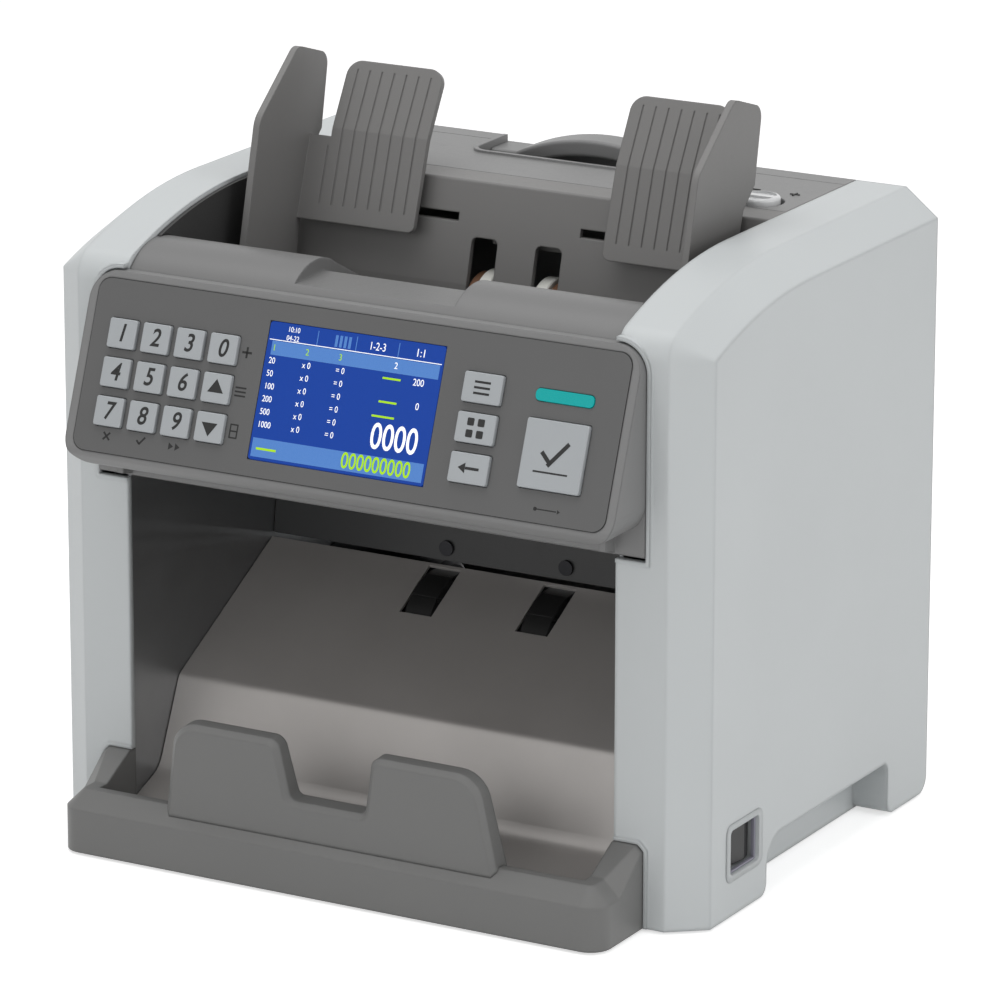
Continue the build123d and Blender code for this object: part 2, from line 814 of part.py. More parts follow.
def side_plate_face():
    """Side view of the guide's side plate."""
    with BuildSketch() as face:
        with BuildLine():
            Polyline(
                (front + 70.4, 229.0),
                (front + 83.2, 281.0),
                (front + 113.5, 305.8),
                (front + 136.8, 298.6),
                (front + 131.0, 268.0),
                (guide_line(259.5, rib_plate_thick), 259.5),
                (guide_line(guide_foot_z, rib_plate_thick), guide_foot_z),
                (front + 110.0, 214.5),
                (front + 96.0, 214.5),
                close=True,
            )
        make_face()
        for y, z, radius in ((83.2, 281.0, 10), (113.5, 305.8, 6), (136.8, 298.6, 6)):
            fillet(face.vertices().sort_by_distance((front + y, z, 0))[0], radius=radius)
    return face.sketch


guide_plane = Plane(
    origin=(0, guide_foot_y, guide_foot_z),
    x_dir=(1, 0, 0),
    z_dir=(0, -guide_angle_cos, guide_angle_cos * guide_lean),
)
head_plane = Plane(
    origin=(0, guide_bend_y, guide_bend_z),
    x_dir=(1, 0, 0),
    z_dir=(0, -head_angle_cos, head_angle_cos * head_lean),
)
guide_length = (guide_bend_z - guide_foot_z) / guide_angle_cos
head_length = (guide_head_z - guide_bend_z) / head_angle_cos
notch_height = guide_length - 3.6       # the plate joins the side plate below this
groove_count = 8
groove_pitch = 5.75
groove_width = 0.6
groove_deep = 0.35


def note_guide(rack_side):
    """Right-hand guide with its rack; rack_side is 1 for a rack above the pinion, -1 below."""
    pitch_z = pinion_z + rack_side * pinion_radius
    rack_back = pitch_z + rack_side * (dedendum + rack_depth)
    first_tooth = round((arm_inner - 2) / pitch - 0.5)
    with BuildPart() as guide:
        with BuildSketch(Plane.YZ.offset(guide_plate)):
            add(side_plate_face())
        extrude(amount=guide_thick)
        with BuildSketch(guide_plane) as lower:
            with BuildLine():
                Polyline(
                    (guide_inner, 0),
                    (guide_inner, guide_length),
                    (guide_outer, guide_length),
                    (guide_outer, notch_height),
                    (guide_plate + 1, notch_height),
                    (guide_plate + 1, 0),
                    close=True,
                )
            make_face()
            inner_foot = lower.vertices().sort_by_distance((guide_inner, 0, 0))[0]
            fillet(inner_foot, radius=guide_foot_round)
        extrude(amount=-rib_plate_thick)
        with BuildSketch(head_plane) as upper:
            with Locations(((guide_inner + guide_outer) / 2, 0)):
                Rectangle(
                    guide_outer - guide_inner, head_length, align=(Align.CENTER, Align.MIN)
                )
            fillet(upper.vertices().group_by(Axis.Y)[-1], radius=guide_head_round)
        extrude(amount=-rib_plate_thick)
        for plane, low, high in (
            (guide_plane, 7.0, guide_length),
            (head_plane, 0, head_length - 3.8),
        ):
            with BuildSketch(plane):
                for groove in range(groove_count):
                    groove_x = guide_inner + 5.5 + groove * groove_pitch
                    beside = groove_x > guide_outer - 1
                    if not (beside and plane is head_plane):
                        end = notch_height - 4 if beside else high
                        with Locations((groove_x, (low + end) / 2)):
                            Rectangle(groove_width, end - low)
            extrude(amount=-groove_deep, mode=Mode.SUBTRACT)
        with BuildSketch(Plane.XY.offset(slot_low + arm_gap)):
            with BuildLine():
                Polyline(
                    (arm_inner, guide_line(pinion_z, rib_plate_thick / 2)),
                    (arm_outer, guide_line(pinion_z, rib_plate_thick / 2)),
                    (arm_outer, pinion_y + pinion_width / 2),
                    (arm_inner, pinion_y + pinion_width / 2),
                    close=True,
                )
            make_face()
        extrude(amount=slot_high - slot_low - 2 * arm_gap)
        with BuildSketch(facing_front(pinion_y + pinion_width / 2)):
            with BuildLine():
                Polyline(
                    (arm_inner, pinion_z),
                    (arm_inner + 10, pinion_z),
                    (arm_inner + 10, rack_back),
                    (-rack_end, rack_back),
                    (-rack_end, pitch_z + rack_side * dedendum),
                    (arm_inner, pitch_z + rack_side * dedendum),
                    close=True,
                )
            make_face()
            for tooth in range(-int(rack_end / pitch), first_tooth):
                with BuildLine():
                    place = (tooth + (0.5 if rack_side > 0 else 0.5)) * pitch
                    Polyline(*tooth_points(place, pitch_z, -rack_side), close=True)
                make_face()
        extrude(amount=pinion_width)
    return guide.part


with BuildPart() as left_guide:
    mirror(note_guide(1), about=Plane.YZ)
save(left_guide, "left_guide")

with BuildPart() as right_guide:
    add(note_guide(-1))
save(right_guide, "right_guide")

with BuildPart() as guide_pinion:
    with BuildSketch(facing_front(pinion_y + pinion_width / 2 - 0.3)) as gear:
        with Locations((0, pinion_z)):
            Circle(pinion_radius - dedendum + 0.05)
        for tooth in range(pinion_teeth):
            with BuildLine():
                turned = [
                    Vector(x, y, 0).rotate(Axis.Z, 360 / pinion_teeth * tooth)
                    for x, y in tooth_points(0, pinion_radius, 1)
                ]
                Polyline(*[(v.X, v.Y + pinion_z) for v in turned], close=True)
            make_face()
        with Locations((0, pinion_z)):
            Circle(pinion_pin_radius + running, mode=Mode.SUBTRACT)
    extrude(amount=pinion_width - 0.6)
save(guide_pinion, "guide_pinion")

# ---- Control panel: housing, overlay, keys, display, light and board ----

tilt_tan = tan(radians(panel_tilt))
tilt_cos = cos(radians(panel_tilt))


def panel_line(z, inset):
    """Depth of the panel's face at height z, or of a plane inset behind it."""
    return panel_top_y - (panel_top_z - z) * tilt_tan + inset / tilt_cos


def housing_silhouette(inset):
    """Front view of the housing as a solid: round corners, and outside a square-footed flange."""
    with BuildPart() as silhouette:
        with BuildSketch(facing_front(front - 40)):
            with Locations((0, (housing_top + lip_low) / 2)):
                RectangleRounded(
                    2 * (housing_half - inset),
                    housing_top - lip_low - 2 * inset,
                    housing_corner - inset,
                )
        extrude(amount=-59)
        if inset == 0:
            with BuildSketch(facing_front(front - 1)) as flange:
                with BuildLine():
                    Polyline(
                        (-housing_half, 0),
                        (-housing_half, housing_top),
                        (housing_half, housing_top),
                        (housing_half, 0),
                        close=True,
                    )
                make_face()
                fillet(flange.vertices().group_by(Axis.Y)[-1], radius=housing_corner)
            extrude(amount=-20)
    return silhouette.part


def housing_block(inset, rear):
    """The housing's solid, drawn in by inset and cut off at depth rear."""
    with BuildPart() as block:
        with BuildSketch(Plane.YZ.offset(-housing_half + inset)) as side_view:
            with BuildLine():
                Polyline(
                    (rear, housing_top - inset),
                    (panel_line(housing_top - inset, inset), housing_top - inset),
                    (panel_line(lip_high + inset / 3, inset), lip_high + inset / 3),
                    (lip_y + inset / 2, lip_low + inset),
                    (rear, housing_bottom + inset),
                    close=True,
                )
            make_face()
            if inset == 0:
                fillet(side_view.vertices().filter_by(
                    lambda v: abs(v.Y - lip_high) < 0.01 or abs(v.Y - lip_low) < 0.01
                ), radius=lip_round)
        extrude(amount=2 * (housing_half - inset))
        add(housing_silhouette(inset), mode=Mode.INTERSECT)
    return block.part


housing_rear = front + cover_wall
digit_order = ("1", "2", "3", "0", "4", "5", "6", "up", "7", "8", "9", "down")
key_places = [
    (
        f"key_{name}",
        key_first_x + index % 4 * key_pitch,
        key_first_drop + index // 4 * key_pitch,
        key_width,
        key_height,
    )
    for index, name in enumerate(digit_order)
]
key_places += [
    (name, function_x, key_first_drop + row * key_pitch, function_width, key_height)
    for row, name in enumerate(("key_menu", "key_function", "key_back"))
]
key_places.append(("key_confirm", confirm_x, confirm_drop, confirm_size, confirm_size))
board_posts = [(x, -drop) for x in (-100.0, 100.0) for drop in (8.0, 62.5)]

with BuildPart() as control_housing:
    add(housing_block(0, housing_rear))
    add(housing_block(housing_wall, housing_rear + 1), mode=Mode.SUBTRACT)
    with BuildSketch(panel.offset(-overlay_sunk)):
        with Locations((0, -overlay_drop)):
            RectangleRounded(overlay_width + 2 * seam, overlay_height + 2 * seam, overlay_corner)
    extrude(amount=overlay_sunk + 1, mode=Mode.SUBTRACT)
    with BuildSketch(panel):
        for _, x, drop, width, height in key_places:
            with Locations((x, -drop)):
                RectangleRounded(width + 2 * key_gap, height + 2 * key_gap, 1.2)
        with Locations((0, -display_drop)):
            Rectangle(display_width + 2 * seam, display_height + 2 * seam)
        with Locations((light_x, -light_drop)):
            RectangleRounded(light_width + 2 * seam, light_height + 2 * seam, 2.2)
    extrude(amount=-2 * housing_wall, mode=Mode.SUBTRACT)
    with BuildSketch(panel.offset(-board_depth)):
        with Locations(*board_posts):
            Circle(2.4)
    extrude(amount=board_depth - overlay_sunk - 0.6)
    for side in (-1, 1):
        with BuildSketch(Plane.YZ.offset(side * (channel_half - 1.5) - 1.5)):
            with BuildLine():
                Polyline(
                    (front - 8, housing_bottom + 3.6),
                    (front + cover_wall - 0.1, housing_bottom + 1.3),
                    (front + cover_wall - 0.1, housing_bottom + 4.5),
                    (front + 24, housing_bottom + 6),
                    (front + 24, housing_bottom + 26),
                    (front - 8, housing_bottom + 26),
                    close=True,
                )
            make_face()
        extrude(amount=3)
save(control_housing, "control_housing")

with BuildPart() as panel_overlay:
    with BuildSketch(panel.offset(-overlay_sunk)):
        with Locations((0, -overlay_drop)):
            RectangleRounded(overlay_width, overlay_height, overlay_corner)
        for _, x, drop, width, height in key_places:
            with Locations((x, -drop)):
                RectangleRounded(width + 2 * key_gap, height + 2 * key_gap, 1.2, mode=Mode.SUBTRACT)
        with Locations((0, -display_drop)):
            Rectangle(display_width + 2 * seam, display_height + 2 * seam, mode=Mode.SUBTRACT)
        with Locations((light_x, -light_drop)):
            RectangleRounded(
                light_width + 2 * seam, light_height + 2 * seam, 2.2, mode=Mode.SUBTRACT
            )
    extrude(amount=overlay_thick)
save(panel_overlay, "panel_overlay")


def panel_key(x, drop, width, height):
    """Key cap with a round-edged top and a flange that keeps it behind the panel."""
    with BuildPart() as cap:
        with BuildSketch(panel.offset(-key_depth)):
            with Locations((x, -drop)):
                RectangleRounded(width, height, 1.0)
        extrude(amount=key_depth + key_proud)
        fillet(cap.faces().sort_by(Axis(panel.origin, panel.z_dir))[-1].edges(), radius=0.45)
        with BuildSketch(panel.offset(-key_depth - 1)):
            with Locations((x, -drop)):
                RectangleRounded(width + 2 * key_flange, height + 2 * key_flange, 1.0)
        extrude(amount=1)
    return cap.part


for name, x, drop, width, height in key_places:
    with BuildPart() as key:
        add(panel_key(x, drop, width, height))
    save(key, name)

with BuildPart() as display:
    with BuildSketch(panel.offset(-housing_wall - seam)):
        with Locations((0, -display_drop)):
            RectangleRounded(display_width, display_height, 1.2)
    extrude(amount=housing_wall + seam + 0.1)
    with BuildSketch(panel.offset(-board_depth + seam)):
        with Locations((0, -display_drop)):
            Rectangle(display_width + 5, display_height + 5)
    extrude(amount=board_depth - housing_wall - 2 * seam)
save(display, "display")

with BuildPart() as status_light:
    with BuildSketch(panel.offset(-board_depth + seam)):
        with Locations((light_x, -light_drop)):
            RectangleRounded(light_width, light_height, 2.0)
    extrude(amount=board_depth - seam + 0.7)
save(status_light, "status_light")

with BuildPart() as control_board:
    with BuildSketch(panel.offset(-board_depth - board_thick)):
        with Locations((0, -overlay_drop - 0.5)):
            Rectangle(2 * channel_half - 6, overlay_height - 9)
    extrude(amount=board_thick - seam / 2)
    with BuildSketch(panel.offset(-board_depth - seam)):
        for _, x, drop, _, _ in key_places:
            with Locations((x, -drop)):
                Rectangle(6, 6)
    extrude(amount=board_depth - key_depth - 1 - key_travel)
save(control_board, "control_board")

# ---- Tray and stacker stop ----

tray_front = front - tray_reach
tray_inner_y = tray_front + tray_bevel + tray_rim_width
with BuildPart() as front_tray:
    with BuildSketch(Plane.XY.offset(foot_proud)) as footprint:
        with BuildLine():
            Polyline(
                (-tray_half, front + cover_wall),
                (-tray_half, tray_front),
                (tray_half, tray_front),
                (tray_half, front + cover_wall),
                close=True,
            )
        make_face()
        fillet(footprint.vertices().group_by(Axis.Y)[0], radius=tray_corner)
    extrude(amount=tray_rim - foot_proud)
    rim_edges = front_tray.faces().sort_by(Axis.Z)[-1].edges().filter_by(
        lambda edge: edge.center().Y < front
    )
    chamfer(rim_edges, length=tray_bevel)
    for low_x in (-tray_half, channel_half):
        with BuildSketch(Plane.YZ.offset(low_x)):
            with BuildLine():
                Polyline(
                    (wing_start, foot_proud),
                    (wing_start, tray_rim),
                    (wing_flat, wing_high),
                    (front + cover_wall, wing_high),
                    (front + cover_wall, foot_proud),
                    close=True,
                )
            make_face()
        extrude(amount=tray_half - channel_half)
    for side in (-1, 1):
        for top, cut, start in (
            (tray_rim, tray_bevel, wing_start),
            (wing_high, tray_seat_chamfer, wing_flat),
        ):
            with BuildSketch(facing_front(start)):
                with BuildLine():
                    Polyline(
                        (side * (tray_half - cut - 2), top + 2),
                        (side * (tray_half + 2), top - cut - 2),
                        (side * (tray_half + 2), top + 2),
                        close=True,
                    )
                make_face()
        loft(mode=Mode.SUBTRACT)
        with BuildSketch(facing_front(wing_flat)):
            with BuildLine():
                Polyline(
                    (side * (tray_half - tray_seat_chamfer - 2), wing_high + 2),
                    (side * (tray_half + 2), wing_high - tray_seat_chamfer - 2),
                    (side * (tray_half + 2), wing_high + 2),
                    close=True,
                )
            make_face()
        extrude(amount=-(cover_wall + 5), mode=Mode.SUBTRACT)
    with BuildSketch(Plane.XY.offset(tray_floor)):
        with Locations((0, tray_inner_y)):
            Rectangle(2 * channel_half, 100, align=(Align.CENTER, Align.MIN))
    extrude(amount=100, mode=Mode.SUBTRACT)
    with BuildSketch(Plane.XY.offset(foot_proud)):
        with Locations((0, front + cover_wall)):
            Rectangle(tongue_width, tongue_reach, align=(Align.CENTER, Align.MIN))
    extrude(amount=pan_low - seam - foot_proud)
save(front_tray, "front_tray")

stop_front_y = tray_front + 3.5
stop_plane = Plane(
    origin=(0, stop_front_y, stop_base),
    x_dir=(1, 0, 0),
    z_dir=(
        0,
        -cos(stop_lean / (stop_top - stop_base)),
        -sin(stop_lean / (stop_top - stop_base)),
    ),
)
stop_height = hypot(stop_top - stop_base, stop_lean)
valley_height = stop_height * (stop_valley - stop_base) / (stop_top - stop_base)


def stop_face():
    """The stop seen from the front: two lobes over a low bridge."""
    with BuildSketch() as face:
        with BuildLine():
            Polyline(
                (-stop_outer_base, 0),
                (-stop_outer_top, stop_height),
                (-stop_inner_top, stop_height),
                (-stop_inner_base, valley_height),
                (stop_inner_base, valley_height),
                (stop_inner_top, stop_height),
                (stop_outer_top, stop_height),
                (stop_outer_base, 0),
                close=True,
            )
        make_face()
        fillet(face.vertices().group_by(Axis.Y)[-1].sort_by(Axis.X)[0], radius=12)
        fillet(face.vertices().group_by(Axis.Y)[-1].sort_by(Axis.X)[-1], radius=12)
        inner_top = face.vertices().filter_by(
            lambda v: abs(abs(v.X) - stop_inner_top) < 0.1 and v.Y > stop_height - 0.1
        )
        fillet(inner_top, radius=5)
        inner_low = face.vertices().filter_by(
            lambda v: abs(abs(v.X) - stop_inner_base) < 0.1 and abs(v.Y - valley_height) < 0.1
        )
        fillet(inner_low, radius=3)
    return face.sketch


with BuildPart() as stacker_stop:
    with BuildSketch(stop_plane):
        add(stop_face())
    extrude(amount=-stop_foot_thick)
    front_edges = stacker_stop.faces().sort_by(Axis(stop_plane.origin, stop_plane.z_dir))[-1]
    chamfer(
        front_edges.edges().filter_by(lambda edge: edge.center().Z > stop_base + 1),
        length=stop_bevel,
    )
    with BuildSketch(Plane.YZ.offset(-stop_outer_base - 1)):
        with BuildLine():
            Polyline(
                (stop_front_y + stop_foot_thick, stop_base - 5),
                (stop_front_y - stop_lean + stop_head_thick, stop_top + 8),
                (stop_front_y + 30, stop_top + 8),
                (stop_front_y + 30, stop_base - 5),
                close=True,
            )
        make_face()
    extrude(amount=2 * stop_outer_base + 2, mode=Mode.SUBTRACT)
    add(front_tray.part, mode=Mode.SUBTRACT)
save(stacker_stop, "stacker_stop")

# ---- Pocket: chute, exit guide, inner guide and screws ----

chute_rise = chute_end_z - chute_step_z
chute_run = chute_end_y - chute_step_y
chute_turn = hypot(chute_rise, chute_run)
slot_reach = ((stacker_y - chute_step_y) * chute_run + (stacker_z - chute_step_z) * chute_rise)
slot_reach = slot_reach / chute_turn
chute_plane = Plane(
    origin=(0, chute_step_y, chute_step_z),
    x_dir=(1, 0, 0),
    z_dir=(0, -chute_rise / chute_turn, chute_run / chute_turn),
)
chute_distance = (
    (stacker_y - chute_step_y) * chute_rise - (stacker_z - chute_step_z) * chute_run
) / chute_turn
slot_half = (stacker_radius ** 2 - (chute_distance - chute_thick) ** 2) ** 0.5 + 1.5

with BuildPart() as pocket_chute:
    with BuildSketch(Plane.YZ.offset(-cross_half)):
        with BuildLine():
            FilletPolyline(
                (tray_inner_y + seam, chute_front_z),
                (chute_bend_y, chute_bend_z),
                (chute_step_y, chute_step_z),
                (chute_end_y, chute_end_z),
                radius=(chute_bend_radius, chute_step_radius),
            )
            offset(amount=chute_thick, side=Side.RIGHT)
        make_face()
    extrude(amount=2 * cross_half)
    with BuildSketch(chute_plane):
        for side in (-1, 1):
            with Locations((side * stacker_offset, slot_reach)):
                Rectangle(stacker_thick + 3, 2 * slot_half)
    extrude(amount=4, both=True, mode=Mode.SUBTRACT)
save(pocket_chute, "pocket_chute")

with BuildPart() as exit_guide:
    with BuildSketch(Plane.YZ.offset(-cross_half)):
        with BuildLine():
            Polyline(
                (exit_low_y, exit_low_z),
                (exit_high_y, exit_high_z),
                (exit_high_y + exit_thick, exit_high_z),
                (exit_low_y + exit_thick + 2, exit_low_z),
                close=True,
            )
        make_face()
    extrude(amount=2 * cross_half)
    with BuildSketch(facing_front(exit_low_y - 5)):
        for side in (-1, 1):
            with Locations((side * exit_screw_x, exit_screw_z)):
                Circle(screw_radius + 0.1)
    extrude(amount=-20, mode=Mode.SUBTRACT)
save(exit_guide, "exit_guide")

with BuildPart() as cover_screws:
    with BuildSketch(facing_front(exit_low_y + 0.2)):
        for side in (-1, 1):
            with Locations((side * exit_screw_x, exit_screw_z)):
                Circle(screw_head)
    extrude(amount=screw_proud)
    with BuildSketch(facing_front(exit_low_y + 0.2)):
        for side in (-1, 1):
            with Locations((side * exit_screw_x, exit_screw_z)):
                Circle(screw_radius)
    extrude(amount=-7)
save(cover_screws, "cover_screws")

with BuildPart() as inner_guide:
    with BuildSketch(Plane.YZ.offset(-cross_half)):
        with BuildLine():
            Polyline(
                (housing_rear + seam, ceiling_front_z),
                (ceiling_back_y, ceiling_back_z),
                (inner_wall_y, ceiling_back_z),
                (inner_wall_y, inner_wall_top),
                (inner_wall_y + frame_thick, inner_wall_top),
                (inner_wall_y + frame_thick, ceiling_back_z - 2),
                (ceiling_back_y, ceiling_back_z - 2),
                (housing_rear + seam, ceiling_front_z - 2),
                close=True,
            )
        make_face()
    extrude(amount=2 * cross_half)
    with BuildSketch(facing_front(inner_wall_y - 1)):
        for start, end in roller_places:
            with Locations(((start + end) / 2, pressure_z)):
                Rectangle(end - start + 3, 2 * pressure_radius + 5)
    extrude(amount=-4, mode=Mode.SUBTRACT)
save(inner_guide, "inner_guide")

# ---- Top cover, handle, knob, rear door and power inlet ----

well_end = back - door_wall - seam
with BuildPart() as top_cover:
    with BuildSketch(Plane.XY.offset(body_height - lid_wall)):
        with Locations((0, (lid_split + seam + door_split) / 2)):
            Rectangle(2 * cross_half - 2 * seam, door_split - lid_split - seam)
    extrude(amount=lid_wall)
    with BuildSketch(Plane.XY.offset(well_floor - well_wall)) as well:
        with BuildLine():
            Polyline(
                (-well_half - well_wall, well_end),
                (-well_half - well_wall, well_start - well_wall),
                (well_half + well_wall, well_start - well_wall),
                (well_half + well_wall, well_end),
                close=True,
            )
        make_face()
        fillet(well.vertices().group_by(Axis.Y)[0], radius=well_corner + well_wall)
    extrude(amount=body_height + well_lip - well_floor + well_wall)
    with BuildSketch(Plane.XY.offset(well_floor)) as well_inside:
        with BuildLine():
            Polyline(
                (-well_half, well_end + 1),
                (-well_half, well_start),
                (well_half, well_start),
                (well_half, well_end + 1),
                close=True,
            )
        make_face()
        fillet(well_inside.vertices().group_by(Axis.Y)[0], radius=well_corner)
    extrude(amount=body_height, mode=Mode.SUBTRACT)
    with BuildSketch(Plane.XY.offset(knob_floor - 2)):
        with Locations((knob_x, knob_y)):
            Circle(knob_well_radius + 2)
        with Locations((knob_x, lid_split + seam)):
            Rectangle(60, 60, align=(Align.CENTER, Align.MIN), mode=Mode.INTERSECT)
    extrude(amount=body_height - knob_floor + 1)
    with BuildSketch(Plane.XY.offset(knob_floor)):
        with Locations((knob_x, knob_y)):
            Circle(knob_well_radius)
    extrude(amount=20, mode=Mode.SUBTRACT)
    with BuildSketch(Plane.XY.offset(knob_floor - 5)):
        with Locations((knob_x, knob_y)):
            Circle(knob_stem_radius + running)
    extrude(amount=20, mode=Mode.SUBTRACT)
save(top_cover, "top_cover")

with BuildPart() as adjuster_knob:
    with BuildSketch(Plane.XY.offset(knob_floor + seam)):
        with Locations((knob_x, knob_y)):
            Circle(knob_radius)
    extrude(amount=knob_top - knob_floor - seam)
    fillet(adjuster_knob.faces().sort_by(Axis.Z)[-1].edges(), radius=1.5)
    with BuildSketch(Plane.XY.offset(knob_top)):
        with Locations((knob_x, knob_y)):
            Circle(knob_radius - knob_rim)
            Rectangle(2 * knob_radius, knob_web, mode=Mode.SUBTRACT)
    extrude(amount=-knob_sunk, mode=Mode.SUBTRACT)
    with BuildSketch(Plane.XY.offset(knob_floor - 10)):
        with Locations((knob_x, knob_y)):
            Circle(knob_stem_radius)
    extrude(amount=12)
save(adjuster_knob, "adjuster_knob")

handle_half = well_half - seam
with BuildPart() as carry_handle:
    with BuildSketch(facing_front(handle_start)):
        with BuildLine():
            Line((-handle_half, handle_top), (-handle_flat, handle_top))
            ThreePointArc((-handle_flat, handle_top), (0, handle_peak), (handle_flat, handle_top))
            Polyline(
                (handle_flat, handle_top),
                (handle_half, handle_top),
                (handle_half, handle_top - handle_thick),
                (handle_flat, handle_top - handle_thick),
            )
            ThreePointArc(
                (handle_flat, handle_top - handle_thick),
                (0, handle_peak - handle_thick),
                (-handle_flat, handle_top - handle_thick),
            )
            Polyline(
                (-handle_flat, handle_top - handle_thick),
                (-handle_half, handle_top - handle_thick),
                (-handle_half, handle_top),
            )
        make_face()
    extrude(amount=-(handle_end - handle_start))
    fillet(carry_handle.edges().filter_by(
        lambda edge: abs(edge.center().Y - (handle_start + handle_end) / 2) > 6
        and abs(edge.center().X) < handle_half - 1
    ), radius=1.4)
save(carry_handle, "carry_handle")

door_low = 5.0
door_half = channel_half - seam
with BuildPart() as rear_door:
    with BuildSketch(Plane.YZ.offset(-door_half)):
        with BuildLine():
            Polyline(
                (door_split + seam, body_height),
                (back, body_height),
                (back, door_low),
                (back - door_wall, door_low),
                (back - door_wall, body_height - door_wall),
                (door_split + seam, body_height - door_wall),
                close=True,
            )
        make_face()
    extrude(amount=2 * door_half)
    with BuildSketch(facing_front(door_split - 20)):
        with Locations((0, grip_edge)):
            Rectangle(2 * (well_half + well_wall + seam), 100, align=(Align.CENTER, Align.MIN))
        with Locations((inlet_x, 0)):
            Rectangle(inlet_width + 3, inlet_height + 8, align=(Align.CENTER, Align.MIN))
    extrude(amount=-(back - door_split + 30), mode=Mode.SUBTRACT)
    with BuildSketch(facing_front(back - 2 * door_wall)):
        for row in range(6):
            with Locations((-45, 70 + 9 * row)):
                SlotOverall(90, 3)
    extrude(amount=-4 * door_wall, mode=Mode.SUBTRACT)
    for side in (-1, 1):
        with BuildSketch(Plane.YZ.offset(side * (door_half - 3) - 3)):
            with Locations((door_axis_y, door_axis_z)):
                Circle(door_pin_radius + 1)
            with BuildLine():
                Polyline(
                    (door_axis_y, door_axis_z - door_pin_radius),
                    (back - door_wall / 2, door_axis_z - door_pin_radius),
                    (back - door_wall / 2, door_axis_z + door_pin_radius + 4),
                    (door_axis_y, door_axis_z + door_pin_radius),
                    close=True,
                )
            make_face()
        extrude(amount=6)
        pin_start = door_half - 1 if side > 0 else -frame_out - 1
        with BuildSketch(Plane.YZ.offset(pin_start)):
            with Locations((door_axis_y, door_axis_z)):
                Circle(door_pin_radius)
        extrude(amount=frame_out + 2 - door_half)
save(rear_door, "rear_door")

inlet_back = back - door_wall - 0.4
inlet_low = pan_top + seam
with BuildPart() as power_inlet:
    with BuildSketch(facing_front(inlet_back)):
        with Locations((inlet_x, inlet_low)):
            Rectangle(inlet_width, inlet_height, align=(Align.CENTER, Align.MIN))
    extrude(amount=inlet_depth)
    with BuildSketch(facing_front(inlet_back)):
        with Locations((inlet_x, inlet_low + inlet_height / 2)):
            RectangleRounded(socket_width, socket_height, 2.5)
    extrude(amount=socket_depth, mode=Mode.SUBTRACT)
    with BuildSketch(facing_front(inlet_back - 6)):
        for x, z in ((-7.0, -2.0), (7.0, -2.0), (0.0, 2.0)):
            with Locations((inlet_x + x, inlet_low + inlet_height / 2 + z)):
                Rectangle(2, 4)
    extrude(amount=socket_depth - 5)
save(power_inlet, "power_inlet")

# ---- Main board with its power section ----

board_under = pan_top + board_lift
with BuildPart() as main_board:
    with BuildSketch(Plane.XY.offset(board_under)):
        with Locations(((board_low_x + board_high_x) / 2, (board_low_y + board_high_y) / 2)):
            Rectangle(board_high_x - board_low_x, board_high_y - board_low_y)
    extrude(amount=board_thick)
    with BuildSketch(Plane.XY.offset(board_under + board_thick)):
        with Locations((board_high_x - 24, board_high_y - 18)):
            Rectangle(34, 28)
    extrude(amount=20)
    with BuildSketch(Plane.XY.offset(board_under + board_thick)):
        with Locations((10, board_high_y - 14)):
            Circle(8)
        with Locations((34, board_high_y - 14)):
            Rectangle(8, 22)
    extrude(amount=17)
    with BuildSketch(Plane.XY.offset(board_under + board_thick)):
        with Locations((-20, board_high_y - 30), (10, board_low_y + 16), (50, board_low_y + 18)):
            Rectangle(18, 18)
        with Locations((75, board_low_y + 8)):
            Rectangle(36, 7)
    extrude(amount=2.5)
save(main_board, "main_board")
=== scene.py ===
# %% [markdown]
# # A banknote counting machine
# A desktop banknote counter is a box of moulded covers round a row of rollers. Its measured pieces
# come in as a fixed frame, which this lesson leaves in place. It gives every piece its finish,
# then adds what is too thin to be a measured piece: the printed marks, the display's
# picture, the ribs of the hopper and the small trim.

# %% Start from the imported machine
import bpy
import json
from math import cos, radians, sin
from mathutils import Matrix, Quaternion, Vector

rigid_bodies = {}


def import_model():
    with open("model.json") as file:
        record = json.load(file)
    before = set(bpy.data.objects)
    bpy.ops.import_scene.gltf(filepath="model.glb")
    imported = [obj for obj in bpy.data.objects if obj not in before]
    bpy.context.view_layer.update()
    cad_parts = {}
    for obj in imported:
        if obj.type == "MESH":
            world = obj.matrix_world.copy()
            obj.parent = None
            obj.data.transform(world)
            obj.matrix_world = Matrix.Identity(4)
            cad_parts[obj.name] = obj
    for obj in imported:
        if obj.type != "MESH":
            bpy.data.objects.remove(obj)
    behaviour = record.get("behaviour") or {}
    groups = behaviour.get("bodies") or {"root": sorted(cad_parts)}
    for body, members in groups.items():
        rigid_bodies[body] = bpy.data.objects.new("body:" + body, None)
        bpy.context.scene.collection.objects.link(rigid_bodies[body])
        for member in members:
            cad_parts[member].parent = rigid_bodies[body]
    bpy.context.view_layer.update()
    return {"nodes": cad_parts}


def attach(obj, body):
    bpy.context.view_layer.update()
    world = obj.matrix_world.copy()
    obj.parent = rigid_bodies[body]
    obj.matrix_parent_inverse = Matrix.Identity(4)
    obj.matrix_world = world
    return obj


for leftover in list(bpy.data.objects):
    bpy.data.objects.remove(leftover)
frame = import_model()
nodes = frame["nodes"]
print("pieces in the frame:", len(nodes))

# %% [markdown]
# Depths on this machine are counted from the front faces of the side covers, in millimetres. The
# control panel leans back, so its marks could each be turned by eye. A small helper is safer: it
# turns a place on the panel (across, down the slope, above the face) into a place in the room.

